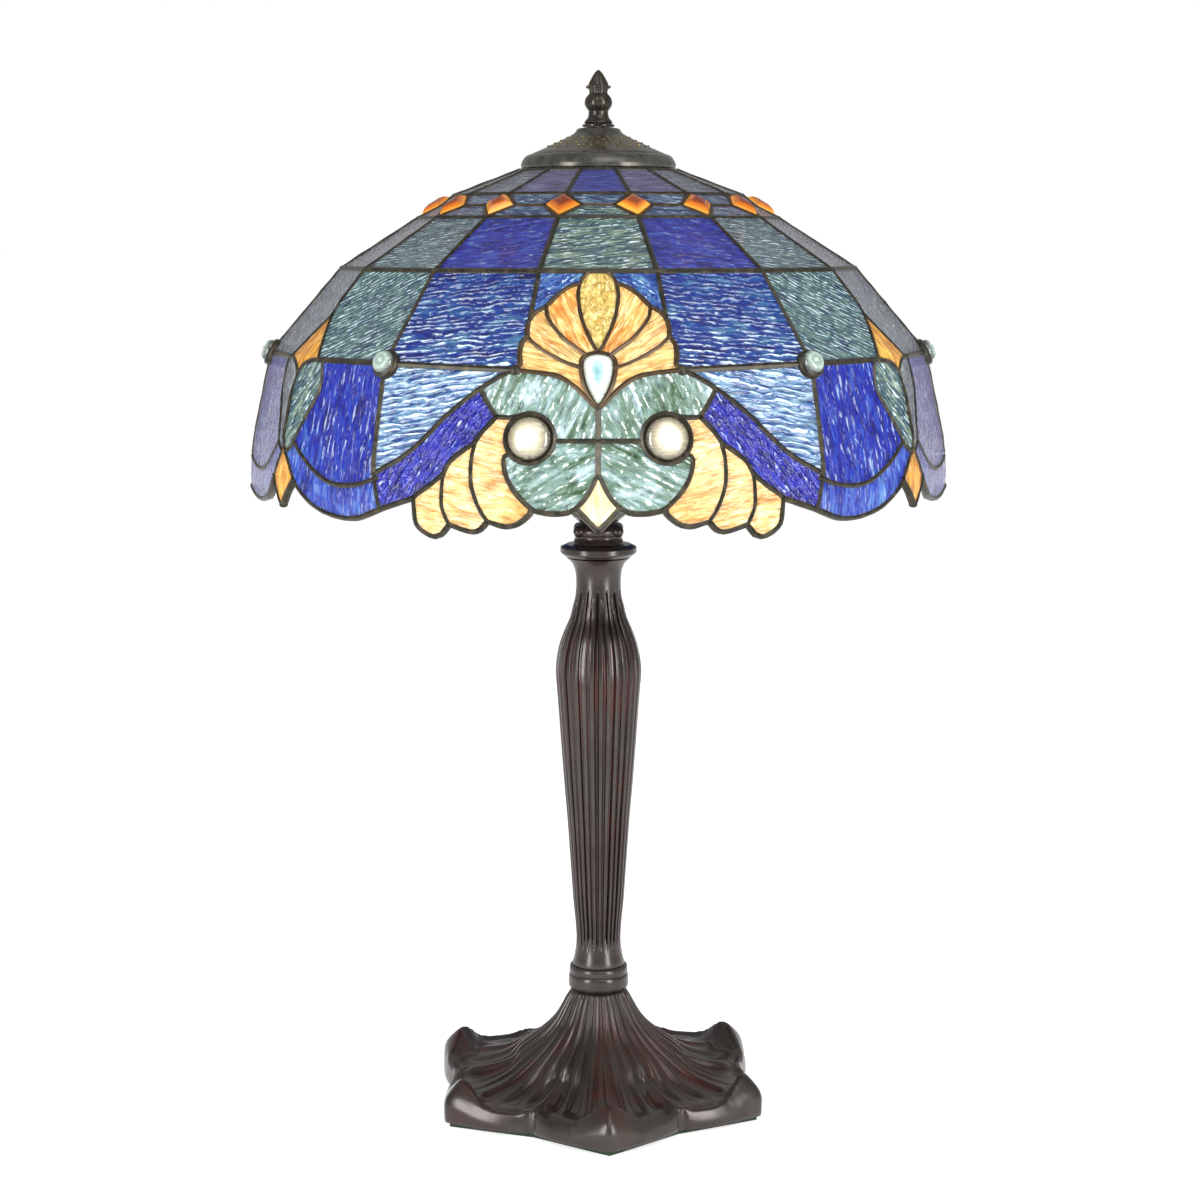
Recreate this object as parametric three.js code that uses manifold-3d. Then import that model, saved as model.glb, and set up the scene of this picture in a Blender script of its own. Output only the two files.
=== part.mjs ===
// A leaded-glass table lamp, in millimetres, with +Z up and the front facing -Y.
//
// The origin is the centre of the felt pad's underside. A cast six-lobed base carries a fluted column on a
// threaded tube. Above the column a two-light cluster holds the sockets, and a riser tube carries the shade,
// which is clamped between a rest washer and a pierced cap by the finial.
//
// Azimuths are in degrees: 0 is the front (-Y) and they grow towards +X. Heights are above the table.

import * as THREE from 'three';
import { mergeVertices } from 'three/addons/utils/BufferGeometryUtils.js';
import Module from 'manifold-3d';

const wasm = await Module();
wasm.setup();

// ---------------------------------------------------------------- driving dimensions

const GAP = 0.3; // clearance between pieces that touch
const ROD_RADIUS = 5; // M10 threaded lamp tube
const ROD_BORE = 3.2;
const HOLE = ROD_RADIUS + 0.4; // clearance hole round the tube

const PAD_THICKNESS = 2;
const PAD_INSET = 4; // the felt stops this far inside the casting's outline
const BASE_TURN = 3.5; // the base stands turned by this much under the shade
const LOBES = 6;
const LOBE_HALF = 180 / LOBES;
const TIP_RADIUS = 107;
const NOTCH_RADIUS = 86;
const RIM_HEIGHT = 14.5;
const CURL_HEIGHT = 12.5; // extra height of the upturned lobe tips
const CURL_HALF_ANGLE = 8;
const BASE_TOP = 66;

const COLLAR_TOP = 80.6;
const COLUMN_TOP = 324.7;
const COLUMN_CAP_TOP = 332.5;
const CLUSTER_NECK_TOP = 344.7;
const FLUTES = 15;
const FLUTE_DEPTH = 1.3;

const SOCKET_HEIGHT = 362; // where the two socket axes cross the lamp's axis
const SOCKET_TILT = 60; // from straight up
const ARM_END = 26;

const RISER_BOTTOM = 360;
const RISER_SHOULDER = 566.5;
const STUD_RADIUS = 3;
const STUD_HOLE = STUD_RADIUS + 0.4;
const STUD_TOP = 581;

const GLASS = 3; // glass thickness
const LEAD_DEPTH = 4.4; // lead rings stand a little proud of the glass on both sides
const LEAD_WIDTH = 4;
const PANELS = 15; // flat panels round the shade
const PANEL_HALF = 180 / PANELS;

// Outer corners of the shade: radius at the panel joints and height.
const CROWN = [44, 546.5];
const BAND_TOP = [82, 532];
const BAND_BOTTOM = [102.5, 519.3];
const MIDDLE = [146, 491.5];
const LOWER = [186.2, 444.5];
const SKIRT = [LOWER, [191.2, 422], [197, 395], [199.3, 376], [198.6, 355]];

const MOTIFS = [
  { name: 'front', azimuth: 0 },
  { name: 'right', azimuth: 120 },
  { name: 'left', azimuth: -120 },
];
const MOTIF_SPAN = 120;
const CABOCHON = { azimuth: 10, height: 409, radius: 11, proud: 5 };
const TEARDROP = { height: 431, radius: 8, stretch: 1.2, proud: 4 };
const SMALL_JEWEL = { azimuth: 36, height: 444.5, radius: 6.5, proud: 3.6, back: 0 };
const SMALL_JEWEL_SEAT = 188.2; // clears the outside of the lead ring it is soldered to

// Scallops of the lower edge in one half motif: middle, half width, lowest height.
const SCALLOPS = [
  { at: 0, half: 5.5, low: 364 },
  { at: 7, half: 7, low: 373 },
  { at: 12.6, half: 3.4, low: 367 },
  { at: 18.2, half: 3.6, low: 364 },
  { at: 24.6, half: 4, low: 359.5 },
  { at: 43, half: 11, low: 365 },
  { at: 60, half: 4, low: 366 },
];
const SCALLOP_RISE = 11;
const SCALLOP_TOP = 376;
const RIM = { radius: 1.7, corners: 4, segments: 90 }; // lead edging along the scallops

// The cord leaves straight back through the wall of the rear lobe.
const INLET = { height: 9.5, hole: 5.2, bore: 3.6, from: 93, to: 108 };

// ---------------------------------------------------------------- materials

const material = (color, roughness, metalness, extra = {}) =>
  new THREE.MeshStandardMaterial({ color, roughness, metalness, ...extra });

const bronze = material(0x483e3a, 0.42, 0.55);
const antique = material(0x55503f, 0.4, 0.7);
const steel = material(0x9a9c9e, 0.35, 0.9);
const brass = material(0xb08d4a, 0.35, 0.85);
const lead = material(0x2d2a1e, 0.55, 0.6);
const felt = material(0x2a3a2c, 0.95, 0);
const porcelain = material(0xe8e4da, 0.3, 0);
const plastic = material(0x1c1c1c, 0.5, 0);
const cobalt = material(0x232db9, 0.1, 0, { transparent: true, opacity: 0.6 });
const teal = material(0x5d7f88, 0.1, 0, { transparent: true, opacity: 0.6 });
const cream = material(0xe8e2c8, 0.08, 0, { transparent: true, opacity: 0.7 });
const opal = material(0xf4f0e6, 0.3, 0, { transparent: true, opacity: 0.7 });

// ---------------------------------------------------------------- geometry helpers

const deg = THREE.MathUtils.degToRad;

function signedVolume(geometry) {
  const p = geometry.attributes.position;
  const corner = [0, 1, 2].map(() => new THREE.Vector3());
  let volume = 0;
  for (let i = 0; i < geometry.index.count; i += 3) {
    corner.forEach((c, k) => c.fromBufferAttribute(p, geometry.index.getX(i + k)));
    volume += corner[0].dot(corner[1].clone().cross(corner[2]));
  }
  return volume / 6;
}

// One closed body: shared corners merged, collapsed triangles dropped, faces turned outwards.
function closed(geometry) {
  geometry.deleteAttribute('normal');
  geometry.deleteAttribute('uv');
  const merged = mergeVertices(geometry, 1e-3);
  const index = [];
  for (let i = 0; i < merged.index.count; i += 3) {
    const [a, b, c] = [0, 1, 2].map((k) => merged.index.getX(i + k));
    if (a !== b && b !== c && c !== a) index.push(a, b, c);
  }
  merged.setIndex(index);
  if (signedVolume(merged) < 0) {
    for (let i = 0; i < index.length; i += 3) [index[i + 1], index[i + 2]] = [index[i + 2], index[i + 1]];
    merged.setIndex(index);
  }
  merged.computeVertexNormals();
  return merged;
}

// A profile of [radius, height] pairs as a lathe with its axis along Y. A profile that starts off the axis
// is a ring, so it is closed back to its first point.
function latheAlongY(profile, segments, startDegrees = 0) {
  const points = profile.map(([r, z]) => new THREE.Vector2(r, z));
  if (profile[0][0] > 0) points.push(points[0].clone());
  return new THREE.LatheGeometry(points, segments, deg(startDegrees));
}

const turned = (profile, segments, startDegrees = 0) =>
  closed(latheAlongY(profile, segments, startDegrees).rotateX(Math.PI / 2));

// A ring of rectangular section.
const washer = (inner, outer, bottom, top, segments) =>
  turned([[inner, bottom], [outer, bottom], [outer, top], [inner, top]], segments);

// A hexagonal nut, across its flats.
function hexNut(hole, acrossFlats, bottom, top) {
  const corner = acrossFlats / Math.sqrt(3);
  const outline = new THREE.Shape(
    Array.from({ length: 6 }, (_, i) => new THREE.Vector2(
      corner * Math.cos(i * Math.PI / 3),
      corner * Math.sin(i * Math.PI / 3),
    )),
  );
  outline.holes.push(new THREE.Path().absarc(0, 0, hole, 0, 2 * Math.PI, true));
  const options = { depth: top - bottom, bevelEnabled: false, curveSegments: 8 };
  return closed(new THREE.ExtrudeGeometry(outline, options).translate(0, 0, bottom));
}

const solidOf = (geometry) => new wasm.Manifold(new wasm.Mesh({
  numProp: 3,
  vertProperties: Float32Array.from(geometry.attributes.position.array),
  triVerts: Uint32Array.from(geometry.index.array),
}));

function geometryOf(solid) {
  const { vertProperties, triVerts } = solid.getMesh();
  const geometry = new THREE.BufferGeometry();
  geometry.setAttribute('position', new THREE.BufferAttribute(vertProperties, 3));
  geometry.setIndex(Array.from(triVerts));
  geometry.computeVertexNormals();
  return geometry;
}

// A cylinder standing on the table's plane with its foot at the given height.
const post = (radius, bottom, top, segments) =>
  closed(new THREE.CylinderGeometry(radius, radius, top - bottom, segments)
    .rotateX(Math.PI / 2)
    .translate(0, 0, (top + bottom) / 2));

// Where a piece lies on the shade: its local +Z points straight out at an azimuth, its local +Y points up.
function facingOut(azimuth, radius, height) {
  const angle = deg(azimuth);
  return new THREE.Matrix4()
    .makeRotationZ(angle)
    .multiply(new THREE.Matrix4().makeRotationX(Math.PI / 2))
    .setPosition(radius * Math.sin(angle), -radius * Math.cos(angle), height);
}

const lamp = new THREE.Group();

function add(name, geometry, look, parent = lamp) {
  const mesh = new THREE.Mesh(geometry, look);
  mesh.name = name;
  parent.add(mesh);
  return mesh;
}

// ---------------------------------------------------------------- base

// Angle from the nearest lobe tip, 0 at the tip and LOBE_HALF in the notch.
function fromTip(azimuth) {
  const turn = THREE.MathUtils.euclideanModulo(azimuth - BASE_TURN + LOBE_HALF, 2 * LOBE_HALF);
  return Math.abs(turn - LOBE_HALF);
}

// The outline runs straight from each tip to the notches beside it.
function outlineRadius(azimuth) {
  const a = deg(fromTip(azimuth));
  const half = deg(LOBE_HALF);
  const across = TIP_RADIUS * Math.sin(a) + NOTCH_RADIUS * Math.sin(half - a);
  return TIP_RADIUS * NOTCH_RADIUS * Math.sin(half) / across;
}

const curl = (azimuth) => CURL_HEIGHT * Math.exp(-((fromTip(azimuth) / CURL_HALF_ANGLE) ** 2));

// A lathe whose profile points give [radius, height, reach, lift]: reach is how fully the point follows the
// lobed outline, and lift how fully it follows the upturned tips.
function lobed(profile, segments) {
  const geometry = latheAlongY(profile, segments, BASE_TURN);
  const rows = geometry.parameters.points.length;
  const p = geometry.attributes.position;
  for (let k = 0; k < p.count; k++) {
    const [radius, height, reach, lift] = profile[(k % rows) % profile.length];
    const azimuth = BASE_TURN + 360 * Math.floor(k / rows) / segments;
    const shrink = 1 + reach * (outlineRadius(azimuth) / TIP_RADIUS - 1);
    const angle = deg(azimuth);
    const r = radius * shrink;
    p.setXYZ(k, r * Math.sin(angle), height + lift * curl(azimuth), r * Math.cos(angle));
  }
  return closed(geometry.rotateX(Math.PI / 2));
}

function buildBase() {
  const foot = PAD_THICKNESS + GAP;
  const segments = 36;
  const inside = TIP_RADIUS - PAD_INSET;
  add('base_pad', lobed([[0, 0, 0, 0], [inside, 0, 1, 0], [inside, PAD_THICKNESS, 1, 0],
    [0, PAD_THICKNESS, 0, 0]], segments), felt);

  const casting = lobed([
    [HOLE, BASE_TOP, 0, 0],
    [15.5, BASE_TOP, 0, 0],
    [19.5, 59, 0, 0],
    [26, 48, 0, 0],
    [35, 38.5, 0, 0],
    [50, 28, 0.1, 0],
    [68, 19, 0.5, 0.05],
    [84, RIM_HEIGHT + 0.5, 0.9, 0.35],
    [97, RIM_HEIGHT + 0.3, 1, 1],
    [103, RIM_HEIGHT - 1.5, 1, 0.9],
    [TIP_RADIUS, foot, 1, 0],
    [TIP_RADIUS - 4, foot, 1, 0],
    [98, RIM_HEIGHT - 4.5, 1, 0.8],
    [84, RIM_HEIGHT - 4, 0.9, 0.3],
    [68, 14.5, 0.5, 0],
    [50, 23.5, 0.1, 0],
    [34, 34, 0, 0],
    [22, 50, 0, 0],
    [14, 58, 0, 0],
    [HOLE, 58, 0, 0],
  ], segments);
  add('base_casting', geometryOf(solidOf(casting).subtract(solidOf(cordHole()))), bronze);

  add('base_washer', washer(HOLE, 12, 55.9, 57.7, 16), steel);
  add('base_lock_washer', washer(HOLE, 8.6, 53.8, 55.6, 16), steel);
  add('base_nut', hexNut(HOLE, 16, 47.5, 53.5), steel);
  add('cord_inlet_bush', inletBush(), plastic);
}

// A drill along +Y, longer than the wall is thick.
function cordHole() {
  const length = 2 * (INLET.to - INLET.from);
  return closed(new THREE.CylinderGeometry(INLET.hole, INLET.hole, length, 16)
    .translate(0, (INLET.from + INLET.to) / 2, INLET.height));
}

// A plain sleeve that lines the hole.
function inletBush() {
  const sleeve = washer(INLET.bore, INLET.hole - GAP, INLET.from, INLET.to, 16);
  return sleeve.rotateX(-Math.PI / 2).translate(0, 0, INLET.height);
}

// ---------------------------------------------------------------- stem

function buildStem() {
  add('central_rod', washer(ROD_BORE, ROD_RADIUS, 44, 356, 12), steel);

  add('collar_ring', turned([
    [HOLE, BASE_TOP + GAP], [17.2, BASE_TOP + GAP], [17.7, 70.5], [17.3, 74.6], [16.3, 75.4], [17.2, 76.4],
    [17, 79.6], [15.8, COLLAR_TOP], [HOLE, COLLAR_TOP],
  ], 20), bronze);

  add('column', flutedColumn(), bronze);

  add('column_cap', turned([
    [HOLE, COLUMN_TOP + GAP], [18.8, COLUMN_TOP + GAP], [22.2, 327.6], [22.2, 330.8], [18.6, COLUMN_CAP_TOP],
    [HOLE, COLUMN_CAP_TOP],
  ], 24), bronze);

  add('cluster_neck', turned([
    [HOLE, COLUMN_CAP_TOP + GAP], [15, COLUMN_CAP_TOP + GAP], [14, 336], [14.4, 340.5], [11.5, CLUSTER_NECK_TOP],
    [HOLE, CLUSTER_NECK_TOP],
  ], 24), bronze);
}

// The column swells to a belly below its neck. Every second corner of its section is cut back as a flute,
// between the plain foot and the plain neck.
function flutedColumn() {
  const profile = [
    [HOLE, COLLAR_TOP + GAP, 0], [15.5, COLLAR_TOP + GAP, 0], [14, 88.5, 0], [13.2, 94, 0], [13.3, 99, 1],
    [15, 119, 1], [18.4, 168, 1], [22.1, 216, 1], [24.8, 250, 1], [25, 260, 1], [23.6, 270, 1], [19.6, 282, 1],
    [15, 296, 1], [13.6, 302, 1], [13.2, 306, 0], [13.2, 313, 0], [15, 320.5, 0], [18.6, COLUMN_TOP, 0],
    [HOLE, COLUMN_TOP, 0],
  ];
  const segments = 2 * FLUTES;
  const geometry = latheAlongY(profile, segments);
  const rows = geometry.parameters.points.length;
  const p = geometry.attributes.position;
  for (let k = 0; k < p.count; k++) {
    const [radius, , depth] = profile[(k % rows) % profile.length];
    const isGroove = Math.floor(k / rows) % 2 === 1;
    if (!isGroove || depth === 0) continue;
    const scale = 1 - FLUTE_DEPTH / radius;
    p.setXYZ(k, p.getX(k) * scale, p.getY(k), p.getZ(k) * scale);
  }
  return closed(geometry.rotateX(Math.PI / 2));
}

// ---------------------------------------------------------------- cluster, sockets and bulbs

function buildCluster() {
  const hub = turned([
    [0, CLUSTER_NECK_TOP + GAP], [11, CLUSTER_NECK_TOP + GAP], [15.5, 349], [15.5, 371], [11, 377], [0, 377],
  ], 20);
  let body = solidOf(hub);
  for (const side of [-1, 1]) {
    const arm = post(6.5, 4, ARM_END, 12);
    arm.applyMatrix4(socketFrame(side));
    body = body.add(solidOf(arm));
  }
  body = body.subtract(solidOf(post(HOLE, 330, 390, 12)));
  add('cluster_body', geometryOf(body), antique);
  buildSocket('left', -1);
  buildSocket('right', 1);
}

const socketFrame = (side) => new THREE.Matrix4()
  .makeRotationY(deg(side * SOCKET_TILT))
  .setPosition(0, 0, SOCKET_HEIGHT);

// Everything on one socket's axis, with heights measured along it from the lamp's axis.
function buildSocket(name, side) {
  const axis = new THREE.Group();
  axis.applyMatrix4(socketFrame(side));
  lamp.add(axis);

  add(`${name}_socket_shell`, turned([
    [5, ARM_END + GAP], [12, ARM_END + GAP], [17.5, 31], [19, 37], [19, 78], [17.3, 78], [17.3, 38.5],
    [11, 32], [5, 32],
  ], 16), antique, axis);
  add(`${name}_socket_insert`, turned([
    [0, 39.2], [16.9, 39.2], [16.9, 76], [14.1, 76], [14.1, 43], [0, 43],
  ], 16), porcelain, axis);

  add(`${name}_bulb_contact`, turned([[0, 43.3], [4, 43.3], [4, 45.4], [0, 45.4]], 16), steel, axis);
  add(`${name}_bulb_cap`, turned([
    [0, 45.7], [8, 45.7], [13.3, 50], [13.3, 70], [12.6, 70], [12.6, 51], [0, 47.5],
  ], 16), brass, axis);
  add(`${name}_bulb_glass`, turned([
    [11.1, 53], [12.2, 53], [12.2, 72], [18, 86], [27, 104], [30, 118], [27.5, 132], [19, 143.5], [0, 149],
    [0, 147.8], [18.4, 142.4], [26.4, 131.4], [28.8, 118], [25.9, 104.5], [16.9, 86.5], [11.1, 72.3],
  ], 14), opal, axis);
}

// ---------------------------------------------------------------- riser and shade carrier

function buildRiser() {
  add('riser', turned([
    [0, 556], [ROD_BORE, 556], [ROD_BORE, RISER_BOTTOM], [ROD_RADIUS, RISER_BOTTOM],
    [ROD_RADIUS, RISER_SHOULDER], [STUD_RADIUS, RISER_SHOULDER], [STUD_RADIUS, STUD_TOP], [0, STUD_TOP],
  ], 12), steel);
  add('riser_lock_nut', hexNut(HOLE, 17, 531, 537.7), brass);
  add('shade_rest_washer', washer(HOLE, 13, 538, 540.7, 20), brass);
}

// A hub, three arms and the ring that is soldered inside the top of the shade.
function buildSpider() {
  const bottom = 541;
  const top = 544;
  let spider = solidOf(washer(HOLE, 12, bottom, top, 20))
    .add(solidOf(washer(36.5, 41, bottom, 546.5, 30)));
  for (let i = 0; i < 3; i++) {
    const arm = new THREE.BoxGeometry(7, 28, top - bottom);
    arm.translate(0, -24, (top + bottom) / 2);
    arm.rotateZ(deg(MOTIF_SPAN * (i + 0.5)));
    spider = spider.add(solidOf(closed(arm)));
  }
  add('shade_spider', geometryOf(spider), brass);
}

// ---------------------------------------------------------------- shade

// Section of a band between two outer corners, shortened at both ends so the lead rings fit between bands.
function bandSection([r1, z1], [r2, z2], thickness, trimStart, trimEnd) {
  const along = new THREE.Vector2(r2 - r1, z2 - z1);
  const length = along.length();
  along.normalize();
  const inward = new THREE.Vector2(along.y, -along.x);
  const corner = (s, t) => [r1 + along.x * s + inward.x * t, z1 + along.y * s + inward.y * t];
  const end = length - trimEnd;
  return [corner(trimStart, 0), corner(trimStart, thickness), corner(end, thickness), corner(end, 0)];
}

const PANEL_START = PANEL_HALF; // panel joints lie half a panel off the front

const direction = (a, b) => new THREE.Vector2(b[0] - a[0], b[1] - a[1]).normalize();

// How far a band stops short of a corner, so that it clears the lead ring there on its inner side.
function trimAt(before, corner, after) {
  const kink = direction(before, corner).angleTo(direction(corner, after));
  return LEAD_WIDTH / 2 + LEAD_DEPTH * Math.sin(kink / 2) + 2 * GAP;
}

function buildBands() {
  const corners = [CROWN, BAND_TOP, BAND_BOTTOM, MIDDLE, LOWER, SKIRT[1]];
  const trims = corners.map((corner, i) => {
    const isEnd = i === 0 || i === corners.length - 1;
    return isEnd ? 1 : trimAt(corners[i - 1], corner, corners[i + 1]);
  });
  const bands = [['crown_glass', teal], ['jewel_band_glass', teal], ['upper_glass', cobalt], ['lower_glass', cobalt]];
  bands.forEach(([name, look], i) => {
    const section = bandSection(corners[i], corners[i + 1], GLASS, trims[i], trims[i + 1]);
    add(name, turned(section, PANELS, PANEL_START), look);
  });

  leadRing('lead_ring_1', CROWN, BAND_TOP, BAND_BOTTOM);
  leadRing('lead_ring_2', BAND_TOP, BAND_BOTTOM, MIDDLE);
  leadRing('lead_ring_3', BAND_BOTTOM, MIDDLE, LOWER);
  leadRing('lead_ring_4', MIDDLE, LOWER, SKIRT[1]);
}

// A lead ring sits on the corner between two bands, turned halfway between their slopes.
function leadRing(name, before, corner, after) {
  const along = direction(before, corner).add(direction(corner, after)).normalize();
  const inward = new THREE.Vector2(along.y, -along.x);
  const half = LEAD_WIDTH / 2;
  const proud = (LEAD_DEPTH - GLASS) / 2;
  const at = (s, t) => [
    corner[0] + along.x * s + inward.x * t,
    corner[1] + along.y * s + inward.y * t,
  ];
  const section = [at(-half, -proud), at(-half, LEAD_DEPTH - proud), at(half, LEAD_DEPTH - proud), at(half, -proud)];
  add(name, turned(section, PANELS, PANEL_START), lead);
}

// Outer radius of the skirt at a height, at the panel joints.
function skirtRadius(height) {
  const i = Math.min(Math.max(SKIRT.findIndex(([, z]) => z < height), 1), SKIRT.length - 1);
  const [r1, z1] = SKIRT[i - 1];
  const [r2, z2] = SKIRT[i];
  return THREE.MathUtils.lerp(r1, r2, (height - z1) / (z2 - z1));
}

// Flat panels lie nearer the axis between their joints.
function flatPanel(azimuth) {
  const fromMiddle = THREE.MathUtils.euclideanModulo(azimuth + PANEL_HALF, 2 * PANEL_HALF) - PANEL_HALF;
  return Math.cos(deg(PANEL_HALF)) / Math.cos(deg(fromMiddle));
}

function edgeHeight(azimuth) {
  const half = MOTIF_SPAN / 2;
  const folded = Math.abs(THREE.MathUtils.euclideanModulo(azimuth + half, MOTIF_SPAN) - half);
  const heights = SCALLOPS.map(({ at, half: width, low }) => {
    const t = Math.min(1, Math.abs(folded - at) / width);
    return low + SCALLOP_RISE * (1 - Math.sqrt(1 - t * t));
  });
  return Math.min(SCALLOP_TOP, ...heights);
}

function onSkirt(azimuth, height, depth) {
  const r = skirtRadius(height) * flatPanel(azimuth) - depth;
  const angle = deg(azimuth);
  return [r * Math.sin(angle), -r * Math.cos(angle), height];
}

// One third of the skirt: a block of 120 degrees bent onto the panels, its lower edge scalloped.
function skirtThird(middle) {
  const columns = 30;
  const rows = 2;
  const top = LOWER[1] - trimAt(MIDDLE, LOWER, SKIRT[1]);
  const rimGap = RIM.radius + GAP + 0.2;
  const span = MOTIF_SPAN - 0.2;
  const geometry = new THREE.BoxGeometry(span, 1, 1, columns, rows, 1);
  const p = geometry.attributes.position;
  for (let k = 0; k < p.count; k++) {
    const azimuth = middle + p.getX(k);
    const bottom = edgeHeight(azimuth) + rimGap;
    const height = bottom + (p.getY(k) + 0.5) * (top - bottom);
    p.setXYZ(k, ...onSkirt(azimuth, height, (0.5 - p.getZ(k)) * GLASS));
  }
  let panel = solidOf(closed(geometry));
  for (const side of [-1, 1]) {
    panel = panel.subtract(solidOf(jewelHole(middle + side * CABOCHON.azimuth, CABOCHON.height, CABOCHON.radius, 1)));
  }
  return panel.subtract(solidOf(jewelHole(middle, TEARDROP.height, TEARDROP.radius, TEARDROP.stretch)));
}

// The lead edging that follows the scallops all the way round.
function rimCame() {
  const geometry = new THREE.TorusGeometry(100, RIM.radius, RIM.corners, RIM.segments);
  const p = geometry.attributes.position;
  for (let k = 0; k < p.count; k++) {
    const azimuth = THREE.MathUtils.radToDeg(Math.atan2(p.getY(k), p.getX(k)));
    const outwards = Math.hypot(p.getX(k), p.getY(k)) - 100;
    const height = edgeHeight(azimuth) + p.getZ(k);
    p.setXYZ(k, ...onSkirt(azimuth, height, GLASS / 2 - outwards));
  }
  return closed(geometry);
}

// A stub through the glass, stretched upwards, that cuts the seat of a jewel.
function jewelHole(azimuth, height, radius, stretch) {
  const geometry = new THREE.CylinderGeometry(radius + GAP, radius + GAP, 24, 14).rotateX(Math.PI / 2);
  geometry.scale(1, stretch, 1);
  geometry.applyMatrix4(facingOut(azimuth, skirtRadius(height), height));
  return closed(geometry);
}

// A pressed-glass jewel with a flat back and a low dome.
function jewel(azimuth, height, { radius, proud, stretch = 1, back = -GLASS }, seat) {
  const profile = [[0, back], [radius, back], [radius, 0.3], [radius * 0.8, proud * 0.65],
    [radius * 0.45, proud * 0.93], [0, proud]];
  const geometry = turned(profile, 12);
  geometry.scale(1, stretch, 1);
  geometry.applyMatrix4(facingOut(azimuth, seat, height));
  return geometry;
}

function buildSkirt() {
  for (const { name, azimuth } of MOTIFS) {
    add(`${name}_skirt_glass`, geometryOf(skirtThird(azimuth)), cobalt);
    const seat = (angle, height) => skirtRadius(height) * flatPanel(angle);
    add(`${name}_teardrop_jewel`, jewel(azimuth, TEARDROP.height, TEARDROP, seat(0, TEARDROP.height)), cream);
    for (const side of [-1, 1]) {
      const hand = side < 0 ? 'left' : 'right';
      const round = azimuth + side * CABOCHON.azimuth;
      add(`${name}_${hand}_cabochon`, jewel(round, CABOCHON.height, CABOCHON,
        seat(CABOCHON.azimuth, CABOCHON.height)), cream);
      const small = azimuth + side * SMALL_JEWEL.azimuth;
      add(`${name}_${hand}_small_jewel`, jewel(small, SMALL_JEWEL.height, SMALL_JEWEL, SMALL_JEWEL_SEAT), cream);
    }
  }
  add('rim_came', rimCame(), lead);
}

// ---------------------------------------------------------------- cap and finial

function buildTop() {
  const shell = turned([
    [STUD_HOLE, 568.6], [STUD_HOLE, 570], [9, 569.9], [12.5, 568.5], [18.4, 564.1], [28, 559.6], [38.6, 555.2],
    [42.8, 551], [44.2, 547.2], [42.8, 547.2], [41.3, 550.3], [37.9, 553.9], [27.4, 558.2], [17.7, 562.7],
    [12, 567.1], [9, 568.5],
  ], 24);
  let cap = solidOf(shell);
  const vents = 8;
  for (let i = 0; i < vents; i++) {
    const slot = new THREE.BoxGeometry(3, 7, 20).translate(0, -23, 560).rotateZ(deg(360 * i / vents));
    cap = cap.subtract(solidOf(closed(slot)));
  }
  add('heat_cap', geometryOf(cap), antique);

  add('finial_washer', washer(STUD_HOLE, 9.2, 570.3, 571.7, 20), antique);
  add('finial', turned([
    [0, 583], [STUD_HOLE, 583], [STUD_HOLE, 572], [7.6, 572], [6.1, 574.2], [5.7, 577], [6.1, 579.6],
    [7.6, 581.6], [8, 583.8], [7.2, 586.6], [5.3, 588.6], [6.6, 591.8], [6.2, 594], [3, 599.2], [0, 602],
  ], 16), antique);
}

buildBase();
buildStem();
buildCluster();
buildRiser();
buildSpider();
buildBands();
buildSkirt();
buildTop();

export default lamp;
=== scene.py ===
"""A leaded-glass table lamp on a fluted bronze column, drawn over its CAD frame.

Lengths are in millimetres until a mesh is made. On the shade a place is given as (azimuth in degrees,
height): azimuth 0 faces the camera (-Y) and grows towards +X.
"""

import math

import bpy
from mathutils import Matrix, Vector, noise
from mathutils.geometry import delaunay_2d_cdt


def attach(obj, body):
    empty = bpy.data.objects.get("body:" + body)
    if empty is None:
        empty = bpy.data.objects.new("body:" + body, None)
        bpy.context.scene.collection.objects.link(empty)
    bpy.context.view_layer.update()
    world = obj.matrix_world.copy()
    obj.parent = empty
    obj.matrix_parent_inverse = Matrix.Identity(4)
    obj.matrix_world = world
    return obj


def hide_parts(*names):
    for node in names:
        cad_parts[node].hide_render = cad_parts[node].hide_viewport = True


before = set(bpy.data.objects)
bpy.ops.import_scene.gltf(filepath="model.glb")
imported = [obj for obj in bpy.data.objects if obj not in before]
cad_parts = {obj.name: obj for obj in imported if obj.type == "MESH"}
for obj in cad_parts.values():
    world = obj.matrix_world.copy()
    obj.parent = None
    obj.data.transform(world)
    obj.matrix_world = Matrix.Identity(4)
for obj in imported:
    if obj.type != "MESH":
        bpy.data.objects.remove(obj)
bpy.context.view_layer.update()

MM = 0.001

# ---------------------------------------------------------------- driving dimensions

PANEL = 24  # one flat panel of the shade, in degrees
HALF_PANEL = PANEL / 2
GLASS = 3
CAME_HEIGHT = 2.3  # half the thickness of a lead line, which stands proud on both sides
CAME_SWELL = 1.35  # the oval line is this much wider at its middle than where it leaves the glass
INSET = 0.5  # a glass piece ends this far inside its lead line
THIRDS = {"front": 0, "right": 120, "left": -120}

# Outer corners of the shade at the panel joints: radius and height.
CROWN = (44, 546.5)
BAND_TOP = (82, 532)
BAND_BOTTOM = (102.5, 519.3)
MIDDLE = (146, 491.5)
LOWER = (186.2, 444.5)
SKIRT = [(191.2, 422), (197, 395), (199.3, 376), (198.6, 355)]
PROFILE = [CROWN, BAND_TOP, BAND_BOTTOM, MIDDLE, LOWER] + SKIRT

BASE_TURN = 3.5  # the base is turned by this much under the shade
LOBES = 6
TIP_RADIUS = 107
NOTCH_RADIUS = 86
FOOT = 2.3  # the felt pad lies under the casting

SOCKET_HEIGHT = 362  # where both socket axes cross the lamp's axis
SOCKET_TILT = 60


# ---------------------------------------------------------------- small helpers

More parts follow.
